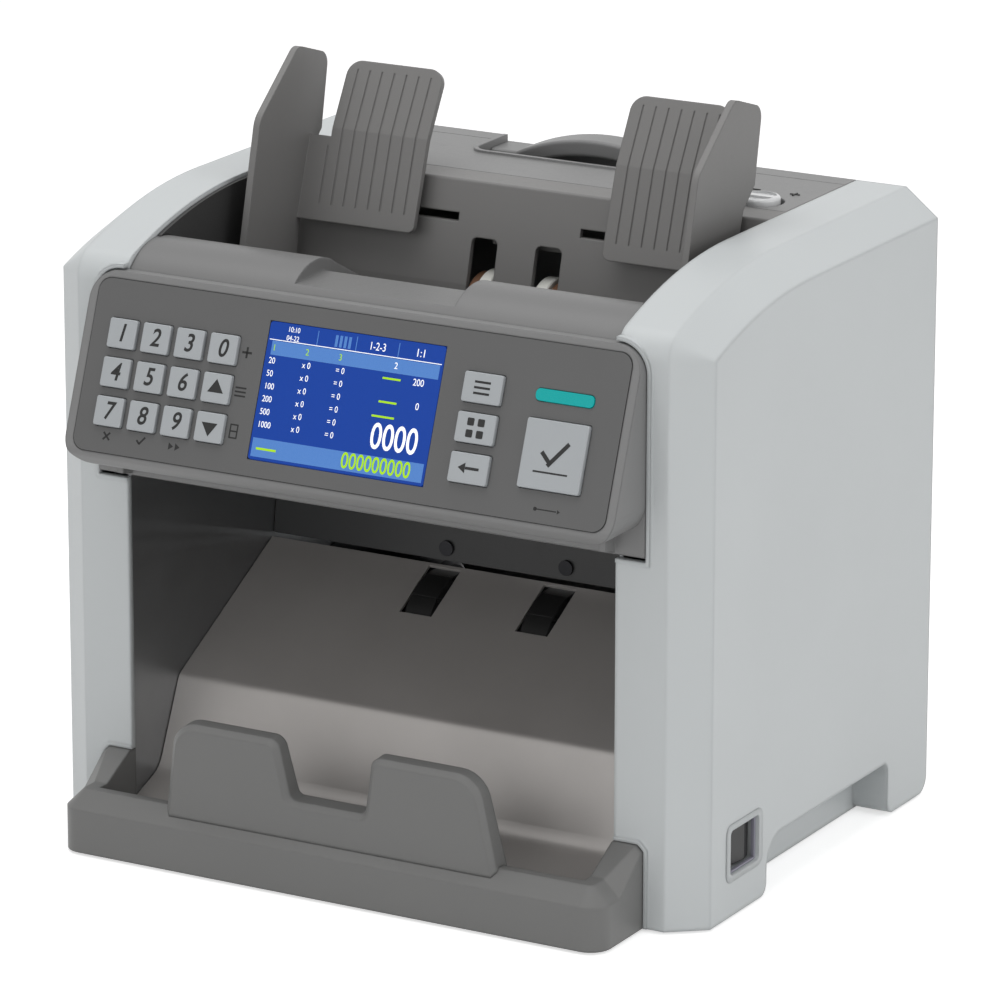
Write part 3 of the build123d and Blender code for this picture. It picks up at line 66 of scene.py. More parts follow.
# %% Places on the machine
MM = 0.001
FRONT = -84.2
COVER_FRONT = FRONT * MM
PANEL_LEAN = radians(20.1)
PANEL_TURN = radians(90.0) - PANEL_LEAN
PANEL_TOP = Vector((0.0, COVER_FRONT - 3.1 * MM, 231.6 * MM))
PANEL_UP = Vector((0.0, sin(PANEL_LEAN), cos(PANEL_LEAN)))
PANEL_OUT = Vector((0.0, -cos(PANEL_LEAN), sin(PANEL_LEAN)))


def on_panel(across, drop, lift):
    """Place on the panel in metres: across and down the slope, lifted off its face (millimetres)."""
    return PANEL_TOP + Vector((across * MM, 0, 0)) - PANEL_UP * drop * MM + PANEL_OUT * lift * MM


print("panel's top edge at", [round(v, 4) for v in PANEL_TOP])

# %% [markdown]
# The camera stands far off with a long lens, a little to the right and above, so that the upright
# edges stay almost parallel. Its place is worked out from two angles and a distance round the point
# it aims at, which are easier to change than three coordinates.

# %% Camera
AIM = Vector((-7.956, 35.803, 124.71)) * MM
AZIMUTH, ELEVATION, ROLL = radians(29.4948), radians(16.4074), radians(0.073)
DISTANCE = 2593.99 * MM
LENS = 228.38
eye = AIM + DISTANCE * Vector(
    (sin(AZIMUTH) * cos(ELEVATION), -cos(AZIMUTH) * cos(ELEVATION), sin(ELEVATION))
)
look = (AIM - eye).to_track_quat("-Z", "Y") @ Quaternion((0, 0, 1), ROLL)
bpy.ops.object.camera_add(location=eye, rotation=look.to_euler())
camera = bpy.context.object
camera.data.lens = LENS
camera.data.sensor_width = 36.0
camera.data.clip_end = 20.0
bpy.context.scene.camera = camera
print("camera at", [round(v, 3) for v in eye])

# %% [markdown]
# Product light is soft: one large lamp overhead, one from the right, a weak one from the front and a
# small one that reaches into the pocket. Large lamps are used because a small one would draw hard
# edges on the covers. The world adds an even fill. The camera, and whatever shines or is clear, sees
# the world as white.

# %% Light and world
bpy.context.scene.view_settings.view_transform = "Standard"


def softbox(name, place, aim, size, watts):
    """A square soft lamp at place that faces aim."""
    turn = (Vector(aim) - Vector(place)).to_track_quat("-Z", "Y").to_euler()
    bpy.ops.object.light_add(type="AREA", location=place, rotation=turn)
    lamp = bpy.context.object
    lamp.name = name
    lamp.data.shape = "SQUARE"
    lamp.data.size = size
    lamp.data.energy = watts
    return lamp


softbox("overhead", (-0.2, -0.1, 1.7), (0, 0, 0.15), 1.4, 12.9)
softbox("right_side", (1.7, 0.1, 0.9), (0.1, 0, 0.15), 1.2, 8.3)
softbox("front_fill", (-0.3, -1.9, 0.75), (0, 0, 0.12), 1.3, 3.5)
softbox("pocket_fill", (0.25, -1.3, 0.3), (0, 0, 0.08), 0.5, 1.6)

WORLD_FILL = 0.42
world = bpy.data.worlds.new("studio")
bpy.context.scene.world = world
world.use_nodes = True
sky = world.node_tree
sky.nodes.clear()
sky_out = sky.nodes.new("ShaderNodeOutputWorld")
path = sky.nodes.new("ShaderNodeLightPath")


def background(strength):
    """White light of the world at a strength."""
    made = sky.nodes.new("ShaderNodeBackground")
    made.inputs["Color"].default_value = (1.0, 1.0, 1.0, 1.0)
    made.inputs["Strength"].default_value = strength
    return made.outputs[0]


rays = path.outputs["Is Camera Ray"]
for kind in ("Is Glossy Ray", "Is Transmission Ray"):
    either = sky.nodes.new("ShaderNodeMath")
    either.operation = "ADD"
    either.use_clamp = True
    sky.links.new(rays, either.inputs[0])
    sky.links.new(path.outputs[kind], either.inputs[1])
    rays = either.outputs[0]
choose = sky.nodes.new("ShaderNodeMixShader")
sky.links.new(rays, choose.inputs[0])
sky.links.new(background(WORLD_FILL), choose.inputs[1])
sky.links.new(background(1.0), choose.inputs[2])
sky.links.new(choose.outputs[0], sky_out.inputs[0])

# %% [markdown]
# Materials could be wired by hand in the node editor, but shader maths reads better as Python. A
# `Wire` is one output of a node, and adding or multiplying wires adds Math nodes. A `Finish` is one
# material, and its `node` method makes every other node.

# %% Shader helpers


class Wire:
    """One node output; the operators build Math nodes."""

    def __init__(self, finish, socket):
        self.finish = finish
        self.socket = socket

    def math(self, operation, a, b):
        return self.finish.node("ShaderNodeMath", {"operation": operation}, {0: a, 1: b})

    def __add__(self, other):
        return self.math("ADD", self, other)

    def __radd__(self, other):
        return self.math("ADD", other, self)

    def __sub__(self, other):
        return self.math("SUBTRACT", self, other)

    def __rsub__(self, other):
        return self.math("SUBTRACT", other, self)

    def __mul__(self, other):
        return self.math("MULTIPLY", self, other)

    def __rmul__(self, other):
        return self.math("MULTIPLY", other, self)


class Finish:
    """One material built from nodes."""

    def __init__(self, name):
        self.material = bpy.data.materials.new(name)
        self.material.use_nodes = True
        self.tree = self.material.node_tree
        self.tree.nodes.clear()
        self.out = self.tree.nodes.new("ShaderNodeOutputMaterial")

    def node(self, kind, settings=None, sockets=None, out=0):
        """Adds a node: its settings first, then the values or wires of its sockets."""
        made = self.tree.nodes.new(kind)
        for key, value in (settings or {}).items():
            if key == "stops":
                for stop, (place, shade) in zip(made.color_ramp.elements, value):
                    stop.position = place
                    stop.color = (shade, shade, shade, 1.0)
            else:
                setattr(made, key, value)
        for key, value in (sockets or {}).items():
            if isinstance(value, Wire):
                self.tree.links.new(value.socket, made.inputs[key])
            else:
                made.inputs[key].default_value = value
        return Wire(self, made.outputs[out])

    def blend(self, share, a, b):
        """Colour a where share is 0 and b where it is 1."""
        return self.node(
            "ShaderNodeMix", {"data_type": "RGBA"}, {0: share, 6: a, 7: b}, out=2
        )

    def ramp(self, value, low, high):
        """0 below low and 1 above high."""
        stops = [(low, 0.0), (high, 1.0)]
        return self.node("ShaderNodeValToRGB", {"stops": stops}, {0: value})

    def coordinates(self, stretch=(1.0, 1.0, 1.0)):
        """Object coordinates, stretched along the axes for streaks."""
        place = self.node("ShaderNodeTexCoord", out="Object")
        return self.node("ShaderNodeMapping", {}, {"Vector": place, "Scale": stretch})

    def noise(self, place, scale, detail=2.0):
        return self.node(
            "ShaderNodeTexNoise", {}, {"Vector": place, "Scale": scale, "Detail": detail}
        )

    def surface(self, sockets):
        shader = self.node("ShaderNodeBsdfPrincipled", {}, sockets)
        self.tree.links.new(shader.socket, self.out.inputs["Surface"])


def shade(red, green, blue):
    """Screen colour (0 to 255) as the linear colour that nodes use."""
    linear = []
    for value in (red, green, blue):
        v = value / 255.0
        linear.append(v / 12.92 if v <= 0.04045 else ((v + 0.055) / 1.055) ** 2.4)
    return (*linear, 1.0)


def darker(colour, share):
    return tuple(c * share for c in colour[:3]) + (1.0,)


print("cover grey in linear light:", [round(c, 3) for c in shade(204, 208, 209)[:3]])

# %% [markdown]
# Most of the machine is moulded plastic. It has a spark-eroded grain: bumps of a third of a
# millimetre that scatter the light, over a slow drift of colour from the mould's flow. Two noises
# give that grain, because one alone looks like sand. Edges are rounded by the tool, which the Bevel
# node shows without new geometry.

# %% Moulded plastic


def moulded(name, colour, rough=0.42, grain=1.0, edge=0.9, drift=0.06, coat=0.0):
    """Fine-grained plastic with soft edges (edge is the edge radius in millimetres)."""
    finish = Finish(name)
    place = finish.coordinates()
    fine = finish.noise(place, 2600.0, 2.0)
    coarse = finish.noise(place, 900.0, 3.0)
    slow = finish.noise(place, 11.0, 2.0)
    dust = finish.ramp(finish.noise(place, 160.0, 6.0), 0.56, 0.86)
    tint = finish.blend(slow, darker(colour, 1.0 - drift), darker(colour, 1.0 + drift * 0.5))
    speck = finish.blend(fine * 0.22, tint, darker(colour, 0.86))
    soft = finish.node("ShaderNodeBevel", {"samples": 4}, {"Radius": edge * MM})
    relief = finish.node(
        "ShaderNodeBump",
        {},
        {
            "Strength": 0.16 * grain,
            "Distance": 0.00012,
            "Height": fine * 0.6 + coarse * 0.4,
            "Normal": soft,
        },
    )
    finish.surface(
        {
            "Base Color": speck,
            "Roughness": rough + (coarse - 0.5) * 0.1 + dust * 0.06,
            "Normal": relief,
            "Coat Weight": coat,
            "Specular IOR Level": 0.42,
        }
    )
    return finish.material


cover_plastic = moulded("cover_plastic", shade(201, 205, 206), rough=0.42, edge=2.4)
housing_plastic = moulded("housing_plastic", shade(127, 127, 127), rough=0.4, edge=1.4)
hopper_plastic = moulded("hopper_plastic", shade(120, 119, 118), rough=0.46, grain=1.3)
guide_plastic = moulded("guide_plastic", shade(121, 120, 119), rough=0.46, grain=1.3, edge=0.9)
tray_plastic = moulded("tray_plastic", shade(115, 115, 114), rough=0.45, grain=1.3, edge=1.6)
roll_plastic = moulded("roll_plastic", shade(114, 114, 114), rough=0.4, edge=1.4)
top_plastic = moulded("top_plastic", shade(126, 126, 126), rough=0.42)
key_plastic = moulded("key_plastic", shade(172, 176, 179), rough=0.4, grain=0.6, edge=0.5)
black_plastic = moulded("black_plastic", shade(38, 38, 38), rough=0.38, edge=0.4)
white_nylon = moulded("white_nylon", shade(226, 226, 220), rough=0.3, grain=0.4, edge=0.4)
knob_plastic = moulded("knob_plastic", shade(214, 215, 216), rough=0.24, grain=0.3, coat=0.4)
liner_plastic = moulded("liner_plastic", shade(54, 54, 54), rough=0.5, grain=1.2, edge=0.3)
print("plastics:", [m.name for m in bpy.data.materials if m.name.endswith("_plastic")])

# %% [markdown]
# The panel is a printed polyester film: flatter and more even than plastic, with a fine
# screen-printed tooth. The display window is dark blue and the status light is milky. Both glow a
# little, which is done with emission in their own colour, so that no lamp is needed behind them.

# %% Film, display and light
film = Finish("panel_film")
film_place = film.coordinates()
film_tooth = film.noise(film_place, 5200.0, 1.0)
film_flow = film.noise(film_place, 24.0, 2.0)
film.surface(
    {
        "Base Color": film.blend(film_flow, shade(93, 93, 93), shade(98, 98, 98)),
        "Roughness": 0.4 + film_tooth * 0.12,
        "Normal": film.node(
            "ShaderNodeBump",
            {},
            {"Strength": 0.1, "Distance": 0.00004, "Height": film_tooth},
        ),
        "Specular IOR Level": 0.35,
    }
)


def lit(name, colour, glow, rough=0.25):
    """Backlit display colour with the display's fine dot grid in it."""
    finish = Finish(name)
    dots = finish.noise(finish.coordinates(), 4200.0, 0.0)
    tint = finish.blend(dots * 0.35, colour, darker(colour, 0.86))
    finish.surface(
        {
            "Base Color": tint,
            "Roughness": rough + dots * 0.05,
            "Emission Color": tint,
            "Emission Strength": glow,
            "Specular IOR Level": 0.25,
        }
    )
    return finish.material


screen_blue = lit("screen_blue", shade(0, 56, 146), 0.3, 0.34)
screen_band = lit("screen_band", shade(76, 122, 188), 0.34)
screen_white = lit("screen_white", shade(245, 247, 250), 0.45)
screen_green = lit("screen_green", shade(158, 208, 20), 0.42)
status_teal = lit("status_teal", shade(0, 158, 156), 0.2)
socket_lilac = moulded("socket_lilac", shade(150, 149, 162), rough=0.4, grain=0.5, edge=0.3)
# Legend ink for the printed marks; the same black also paints the shade in the gap round the film.
ink_and_gap_shade = moulded("legend_ink_and_gap_shade", shade(18, 18, 18), rough=0.5, grain=0.5, edge=0.02)
print("finishes so far:", len(bpy.data.materials))

# %% [markdown]
# Metal parts show how they were made: zinc-plated sheet has a soft spangle, and ground shafts and
# turned pulleys have streaks that run round them. One function makes them all: stretching the
# noise along one axis turns its spots into streaks.

# %% Metals


def metal(name, colour, rough, streak=(1.0, 1.0, 1.0), scale=120.0, depth=0.00002, metallic=1.0):
    finish = Finish(name)
    place = finish.coordinates(streak)
    mark = finish.noise(place, scale, 4.0)
    cloud = finish.noise(finish.coordinates(), 30.0, 3.0)
    finish.surface(
        {
            "Base Color": finish.blend(cloud, darker(colour, 0.86), colour),
            "Metallic": metallic,
            "Roughness": rough + (mark - 0.5) * 0.2,
            "Normal": finish.node(
                "ShaderNodeBump",
                {},
                {
                    "Strength": 0.25,
                    "Distance": depth,
                    "Height": mark,
                    "Normal": finish.node("ShaderNodeBevel", {"samples": 4}, {"Radius": 0.0002}),
                },
            ),
        }
    )
    return finish.material


zinc_sheet = metal("zinc_sheet", shade(168, 170, 172), 0.42, scale=70.0)
ground_steel = metal("ground_steel", shade(196, 197, 200), 0.22, (30.0, 1.0, 1.0), 60.0)
turned_brass = metal("turned_brass", shade(200, 168, 96), 0.3, (30.0, 1.0, 1.0), 60.0)
screw_zinc = metal("screw_zinc", shade(52, 52, 54), 0.4, scale=500.0)
motor_steel = metal("motor_steel", shade(58, 58, 60), 0.4, (20.0, 1.0, 1.0), 40.0)
chute_steel = metal(
    "chute_steel", shade(186, 182, 179), 0.36, scale=420.0, depth=0.00001, metallic=0.3
)
print("chute finish:", chute_steel.name)

# %% [markdown]
# Rubber is dull and a little dusty, so its noise drives the roughness. A circuit board is green
# lacquer over copper tracks. The edges of Voronoi cells stand in for the tracks.

# %% Rubber and circuit boards


def rubber(name, colour):
    finish = Finish(name)
    place = finish.coordinates()
    pores = finish.noise(place, 1500.0, 4.0)
    bloom = finish.ramp(finish.noise(place, 90.0, 5.0), 0.45, 0.8)
    finish.surface(
        {
            "Base Color": finish.blend(bloom * 0.3, colour, darker(colour, 1.7)),
            "Roughness": 0.72 + pores * 0.15,
            "Normal": finish.node(
                "ShaderNodeBump", {}, {"Strength": 0.3, "Distance": 0.0001, "Height": pores}
            ),
        }
    )
    return finish.material


black_rubber = rubber("black_rubber", shade(34, 34, 34))
brown_rubber = rubber("brown_rubber", shade(104, 72, 50))

board = Finish("circuit_board")
board_place = board.coordinates()
tracks = board.node(
    "ShaderNodeTexVoronoi",
    {"feature": "DISTANCE_TO_EDGE"},
    {"Vector": board_place, "Scale": 260.0},
)
track_mask = board.ramp(tracks, 0.06, 0.12)
board.surface(
    {
        "Base Color": board.blend(track_mask, shade(44, 120, 60), shade(16, 74, 38)),
        "Roughness": 0.32 + board.noise(board_place, 300.0) * 0.1,
        "Normal": board.node(
            "ShaderNodeBump", {}, {"Strength": 0.3, "Distance": 0.00005, "Height": track_mask}
        ),
    }
)
circuit_board = board.material
print("all finishes:", len(bpy.data.materials))

# %% [markdown]
# Every measured piece now gets its finish. A table of names is easier to check than a row of
# calls. Keys share one finish, so they are given it in a loop.

# %% Finishes of the measured pieces
finishes = {
    "left_cover": cover_plastic,
    "right_cover": cover_plastic,
    "switch_bezel": cover_plastic,
    "switch_rocker": black_plastic,
    "left_frame": zinc_sheet,
    "right_frame": zinc_sheet,
    "base_pan": zinc_sheet,
    "rubber_feet": black_rubber,
    "front_tray": tray_plastic,
    "stacker_stop": tray_plastic,
    "pocket_chute": chute_steel,
    "exit_guide": black_plastic,
    "inner_guide": black_plastic,
    "control_housing": housing_plastic,
    "panel_overlay": film.material,
    "display": screen_blue,
    "status_light": status_teal,
    "control_board": circuit_board,
    "main_board": circuit_board,
    "front_roll": roll_plastic,
    "hopper_plate": hopper_plastic,
    "hopper_liners": liner_plastic,
    "top_cover": top_plastic,
    "rear_door": top_plastic,
    "carry_handle": top_plastic,
    "left_guide": guide_plastic,
    "right_guide": guide_plastic,
    "guide_pinion": white_nylon,
    "adjuster_knob": knob_plastic,
    "pickup_shaft": ground_steel,
    "pickup_rollers": white_nylon,
    "pickup_tyres": brown_rubber,
    "transport_roller": black_rubber,
    "pressure_roller": ground_steel,
    "stacker_shaft": ground_steel,
    "stacker_wheels": black_plastic,
    "stacker_pulley": white_nylon,
    "motor": motor_steel,
    "motor_pulley": turned_brass,
    "drive_belt": black_rubber,
    "power_inlet": black_plastic,
    "shaft_bearings": white_nylon,
    "cover_screws": screw_zinc,
}
for name in nodes:
    if name.startswith("key_"):
        finishes[name] = key_plastic
for name, finish in finishes.items():
    piece = nodes[name]
    if not piece.material_slots:
        piece.data.materials.append(finish)
    for holder in piece.material_slots:
        holder.material = finish
print("finished:", len(finishes), "left over:", sorted(set(nodes) - set(finishes)))

# %% [markdown]
# Printed marks could be painted by a material, but then they would blur. Here they are thin solid
# shapes, under a tenth of a millimetre high. Digits start as text and bars as a cube. Each is turned
# into a mesh and then placed, so that its object stays at the origin.

# %% Helpers for marks
INK_HEIGHT = 0.03 * MM


def settle(piece, body, finish):
    """Applies a piece's place to its mesh, gives it its finish and lets it ride on a body."""
    bpy.ops.object.select_all(action="DESELECT")
    piece.select_set(True)
    bpy.context.view_layer.objects.active = piece
    bpy.ops.object.transform_apply(location=True, rotation=True, scale=True)
    piece.data.materials.clear()
    piece.data.materials.append(finish)
    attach(piece, body)
    return piece


def gather(pieces, name, body, finish):
    """Joins marks that share a finish into one piece."""
    bpy.ops.object.select_all(action="DESELECT")
    for piece in pieces:
        piece.select_set(True)
    bpy.context.view_layer.objects.active = pieces[0]
    bpy.ops.object.transform_apply(location=True, rotation=True, scale=True)
    bpy.ops.object.join()
    joined = bpy.context.object
    joined.name = name
    return settle(joined, body, finish)


def figure(
    text, across, drop, lift, height, narrow=1.0, slant=0.0, align="CENTER", weight=0.0
):
    """Digits on the panel; height is theirs and weight thickens the stroke (millimetres)."""
    bpy.ops.object.select_all(action="DESELECT")
    bpy.ops.object.text_add(location=on_panel(across, drop, lift), rotation=(PANEL_TURN, 0, 0))
    made = bpy.context.object
    made.data.body = text
    made.data.size = height / 0.72 * MM
    made.data.align_x = align
    made.data.align_y = "CENTER"
    made.data.shear = slant
    made.data.extrude = INK_HEIGHT
    made.data.offset = weight * MM
    made.data.resolution_u = 6
    made.scale = (narrow, 1, 1)
    bpy.ops.object.convert(target="MESH")
    return bpy.context.object


def turned_on_panel(piece, turn):
    """Lays a piece on the slope and turns it about the panel's normal (degrees)."""
    piece.rotation_mode = "QUATERNION"
    piece.rotation_quaternion = Quaternion((1, 0, 0), PANEL_TURN) @ Quaternion(
        (0, 0, 1), radians(turn)
    )


def patch(across, drop, lift, width, height, turn=0.0, corner=0.0):
    """A thin bar or panel on the slope, with rounded corners where corner is given (millimetres)."""
    bpy.ops.object.select_all(action="DESELECT")
    bpy.ops.mesh.primitive_cube_add(size=1, location=on_panel(across, drop, lift))
    made = bpy.context.object
    made.scale = (width * MM, height * MM, 2 * INK_HEIGHT)
    bpy.ops.object.transform_apply(location=False, rotation=False, scale=True)
    if corner:
        bpy.ops.object.mode_set(mode="EDIT")
        bpy.ops.mesh.select_mode(type="EDGE")
        bpy.ops.mesh.select_all(action="DESELECT")
        bpy.ops.object.mode_set(mode="OBJECT")
        for edge in made.data.edges:
            a, b = (made.data.vertices[i].co for i in edge.vertices)
            edge.select = abs(a.z - b.z) > INK_HEIGHT
        bpy.ops.object.mode_set(mode="EDIT")
        bpy.ops.mesh.bevel(offset=corner * MM, segments=5, affect="EDGES")
        bpy.ops.object.mode_set(mode="OBJECT")
    turned_on_panel(made, turn)
    return made


def wedge(across, drop, lift, size, turn):
    """A solid triangle on the slope; turn 0 points up."""
    bpy.ops.object.select_all(action="DESELECT")
    bpy.ops.mesh.primitive_cylinder_add(
        vertices=3, radius=size * MM, depth=2 * INK_HEIGHT, location=on_panel(across, drop, lift)
    )
    made = bpy.context.object
    made.scale = (1.0, 0.86, 1.0)
    bpy.ops.object.transform_apply(location=False, rotation=False, scale=True)
    turned_on_panel(made, turn)
    return made


print("marks stand", 2 * INK_HEIGHT, "m high")

# %% [markdown]
# Each key carries one mark: a slanted digit, an arrow or a small sign. The number keys stand in a
# grid, so one loop places their marks. A mark rides on its key, so it goes down with it.

# %% Marks on the keys
KEY_TOP = 2.0 + 0.01
KEY_PITCH = 15.6
KEY_COLUMN, KEY_ROW = -104.85, 20.7
FUNCTION_COLUMN = 58.8
SECOND_ROW, THIRD_ROW = KEY_ROW + KEY_PITCH, KEY_ROW + 2 * KEY_PITCH
order = ("1", "2", "3", "0", "4", "5", "6", "up", "7", "8", "9", "down")
for index, word in enumerate(order):
    across = KEY_COLUMN + index % 4 * KEY_PITCH
    drop = KEY_ROW + index // 4 * KEY_PITCH
    if word in ("up", "down"):
        mark = wedge(across, drop, KEY_TOP, 4.2, 0 if word == "up" else 180)
    else:
        mark = figure(word, across, drop, KEY_TOP, 7.2, narrow=0.88, slant=0.18, weight=0.16)
    mark.name = f"mark_{word}"
    settle(mark, f"key_{word}", ink_and_gap_shade)

menu_bars = [
    patch(FUNCTION_COLUMN, KEY_ROW + 2.2 * row, KEY_TOP, 7.0, 0.9) for row in (-1, 0, 1)
]
gather(menu_bars, "mark_menu", "key_menu", ink_and_gap_shade)
square = [
    patch(FUNCTION_COLUMN + 2.3 * x, SECOND_ROW + 2.3 * y, KEY_TOP, 3.0, 3.0, corner=0.5)
    for x in (-1, 1)
    for y in (-1, 1)
]
gather(square, "mark_function", "key_function", ink_and_gap_shade)
back_arrow = [
    wedge(FUNCTION_COLUMN - 2.5, THIRD_ROW, KEY_TOP, 2.4, 90),
    patch(FUNCTION_COLUMN + 1.6, THIRD_ROW, KEY_TOP, 6.0, 1.1),
]
gather(back_arrow, "mark_back", "key_back", ink_and_gap_shade)
tick = [
    patch(91.2, 43.4, KEY_TOP, 6.2, 1.7, turn=-45),
    patch(96.2, 41.6, KEY_TOP, 12.4, 1.7, turn=50),
    patch(93.95, 48.9, KEY_TOP, 15.0, 0.7),
]
gather(tick, "mark_confirm", "key_confirm", ink_and_gap_shade)
print("marked keys:", len(order) + 4)

# %% [markdown]
# Small signs are printed on the film beside the keys that have a second use: plus, a stack, a sheet,
# a cross, a tick and a double arrow. Bars and triangles are enough for all of them.

# %% Signs printed on the film
FILM_TOP = 0.2 + 0.01
SIGN_COLUMN, SIGN_ROW = -47.8, 61.6
signs = [
    patch(SIGN_COLUMN, KEY_ROW, FILM_TOP, 4.4, 0.9),
    patch(SIGN_COLUMN, KEY_ROW, FILM_TOP, 0.9, 4.4),
]
signs += [patch(SIGN_COLUMN, SECOND_ROW + 1.6 * row, FILM_TOP, 5.0, 0.7) for row in (-1, 0, 1)]
signs += [patch(SIGN_COLUMN, THIRD_ROW + 2.6 * row, FILM_TOP, 3.6, 0.6) for row in (0, -1, 1)]
signs += [patch(SIGN_COLUMN + 1.6 * side, THIRD_ROW, FILM_TOP, 0.6, 5.4) for side in (-1, 1)]
signs += [patch(KEY_COLUMN, SIGN_ROW, FILM_TOP, 4.2, 0.8, turn=t) for t in (45, -45)]
signs += [
    patch(-90.1, 62.0, FILM_TOP, 2.0, 0.8, turn=-45),
    patch(-88.3, 61.3, FILM_TOP, 3.9, 0.8, turn=50),
]
signs += [wedge(x, SIGN_ROW, FILM_TOP, 1.7, -90) for x in (-75.2, -72.2)]
signs += [
    patch(94.0, 63.0, FILM_TOP, 9.0, 0.5),
    wedge(99.3, 63.0, FILM_TOP, 1.0, -90),
    patch(89.3, 63.0, FILM_TOP, 1.5, 1.5, corner=0.6),
]
gather(signs, "film_signs", "housing", ink_and_gap_shade)
print("signs printed")

# %% [markdown]
# The film lies in a shallow recess, and the gap round it is in shade. A thin black ring paints that
# shade as a dark line: a plate of the film's size is inset on both faces, and the faces are then
# deleted.

# %% Painted shade of the gap round the film
# A black ring of painted shade, laid where the gap round the film is.
gap_shade_ring = patch(0.0, 33.8, 0.1, 240.3, 69.5, corner=5.7)
bpy.ops.object.mode_set(mode="EDIT")
bpy.ops.mesh.select_mode(type="FACE")
bpy.ops.mesh.select_all(action="DESELECT")
bpy.ops.object.mode_set(mode="OBJECT")
for face in gap_shade_ring.data.polygons:
    face.select = abs(face.normal.z) > 0.9
bpy.ops.object.mode_set(mode="EDIT")
bpy.ops.mesh.inset(thickness=0.5 * MM)
bpy.ops.mesh.delete(type="FACE")
bpy.ops.object.mode_set(mode="OBJECT")
gap_shade_ring.name = "film_gap_shade_ring"
settle(gap_shade_ring, "housing", ink_and_gap_shade)
print("outline faces:", len(gap_shade_ring.data.polygons))

# %% [markdown]
# The display shows a count sheet: rows of figures, a pale band above and below, a large counter and
# a green total. Each colour is one joined piece, and the figures float a hair above the glass, like
# lit dots.

# %% The display's picture
GLASS = 0.1 + 0.04
bands = [
    patch(0.4, 17.2, GLASS, 75.5, 5.6),
    patch(0.0, 56.6, GLASS, 77.0, 7.4),
]
bands += [patch(x, 11.0, GLASS, 0.35, 5.8) for x in (-17.5, 0.0, 19.0)]
bands += [patch(-9.0 + 2.0 * i, 11.0, GLASS, 1.2, 4.6) for i in range(4)]
gather(bands, "screen_bands", "housing", screen_band)

INK_ON_GLASS = GLASS + 0.07
white = [
    figure("10:10", -28.5, 9.3, INK_ON_GLASS, 2.1, 0.85),
    figure("04-22", -28.5, 12.7, INK_ON_GLASS, 2.1, 0.85),
    figure("1-2-3", 9.6, 11.0, INK_ON_GLASS, 3.2, 0.8),
    figure("1:1", 29.0, 11.0, INK_ON_GLASS, 3.2, 0.9),
    patch(0.0, 14.0, INK_ON_GLASS, 77.5, 0.3),
    figure("2", 19.0, 17.2, INK_ON_GLASS, 2.6, 0.9),
    figure("200", 30.0, 22.4, INK_ON_GLASS, 2.8, 0.85),
    figure("0", 31.2, 31.6, INK_ON_GLASS, 2.8, 0.85),
]
for row, worth in enumerate(("20", "50", "100", "200", "500", "1000")):
    drop = 22.3 + 5.05 * row
    white += [
        figure(worth, -37.6, drop, INK_ON_GLASS, 2.5, 0.85, align="LEFT"),
        figure("x 0", -20.5, drop, INK_ON_GLASS, 2.5, 0.85),
        figure("= 0", -5.2, drop, INK_ON_GLASS, 2.5, 0.85),
    ]
white.append(figure("0000", 23.6, 45.6, INK_ON_GLASS, 10.4, 0.74, weight=0.12))
gather(white, "screen_figures", "housing", screen_white)

green = [
    figure("000000000", 17.5, 56.6, INK_ON_GLASS, 6.4, 0.78, weight=0.1),
    figure("1", -36.0, 17.2, INK_ON_GLASS, 2.6, 0.9),
    figure("2", -21.0, 17.2, INK_ON_GLASS, 2.6, 0.9),
    figure("3", -6.0, 17.2, INK_ON_GLASS, 2.6, 0.9),
    patch(18.0, 22.4, INK_ON_GLASS, 8.0, 0.8),
    patch(18.0, 31.6, INK_ON_GLASS, 8.0, 0.8),
    patch(17.0, 37.4, INK_ON_GLASS, 10.0, 0.8),
    patch(-32.0, 57.0, INK_ON_GLASS, 9.0, 0.9),
]
gather(green, "screen_total", "housing", screen_green)
print("display drawn")

# %% [markdown]
# Beside the knob, a minus and a plus are moulded into the top cover. They are small bars with a
# bevelled edge, made from cubes because they are the only shapes there.

# %% Marks by the knob


def raised_bar(place, size, body, finish, name, edge=0.2):
    """A small bar with bevelled edges; place and size in millimetres."""
    bpy.ops.object.select_all(action="DESELECT")
    bpy.ops.mesh.primitive_cube_add(size=1, location=Vector(place) * MM)
    made = bpy.context.object
    made.scale = Vector(size) * MM
    bpy.ops.object.transform_apply(location=False, rotation=False, scale=True)
    bpy.ops.object.mode_set(mode="EDIT")
    bpy.ops.mesh.select_all(action="SELECT")
    bpy.ops.mesh.bevel(offset=edge * MM, segments=2, affect="EDGES")
    bpy.ops.object.mode_set(mode="OBJECT")
    made.name = name
    return settle(made, body, finish)


MARK_Y, TOP_FACE = FRONT + 168.0, 256.1
MINUS_X, PLUS_X = 83.0, 100.7
LYING, UPRIGHT = (4.4, 0.9, 0.6), (0.9, 4.4, 0.6)
raised_bar((MINUS_X, MARK_Y, TOP_FACE), LYING, "housing", ink_and_gap_shade, "minus_mark")
raised_bar((PLUS_X, MARK_Y, TOP_FACE), LYING, "housing", ink_and_gap_shade, "plus_bar")
raised_bar((PLUS_X, MARK_Y, TOP_FACE + 0.02), UPRIGHT, "housing", ink_and_gap_shade, "plus_post")
print("knob marks at", MINUS_X, "and", PLUS_X, "mm")

# %% [markdown]
# The power switch sits in a lilac socket: four flat strips stand in its mouth round the rocker. Four
# strips are simpler to make than a frame with a hole, and look the same in its mouth.

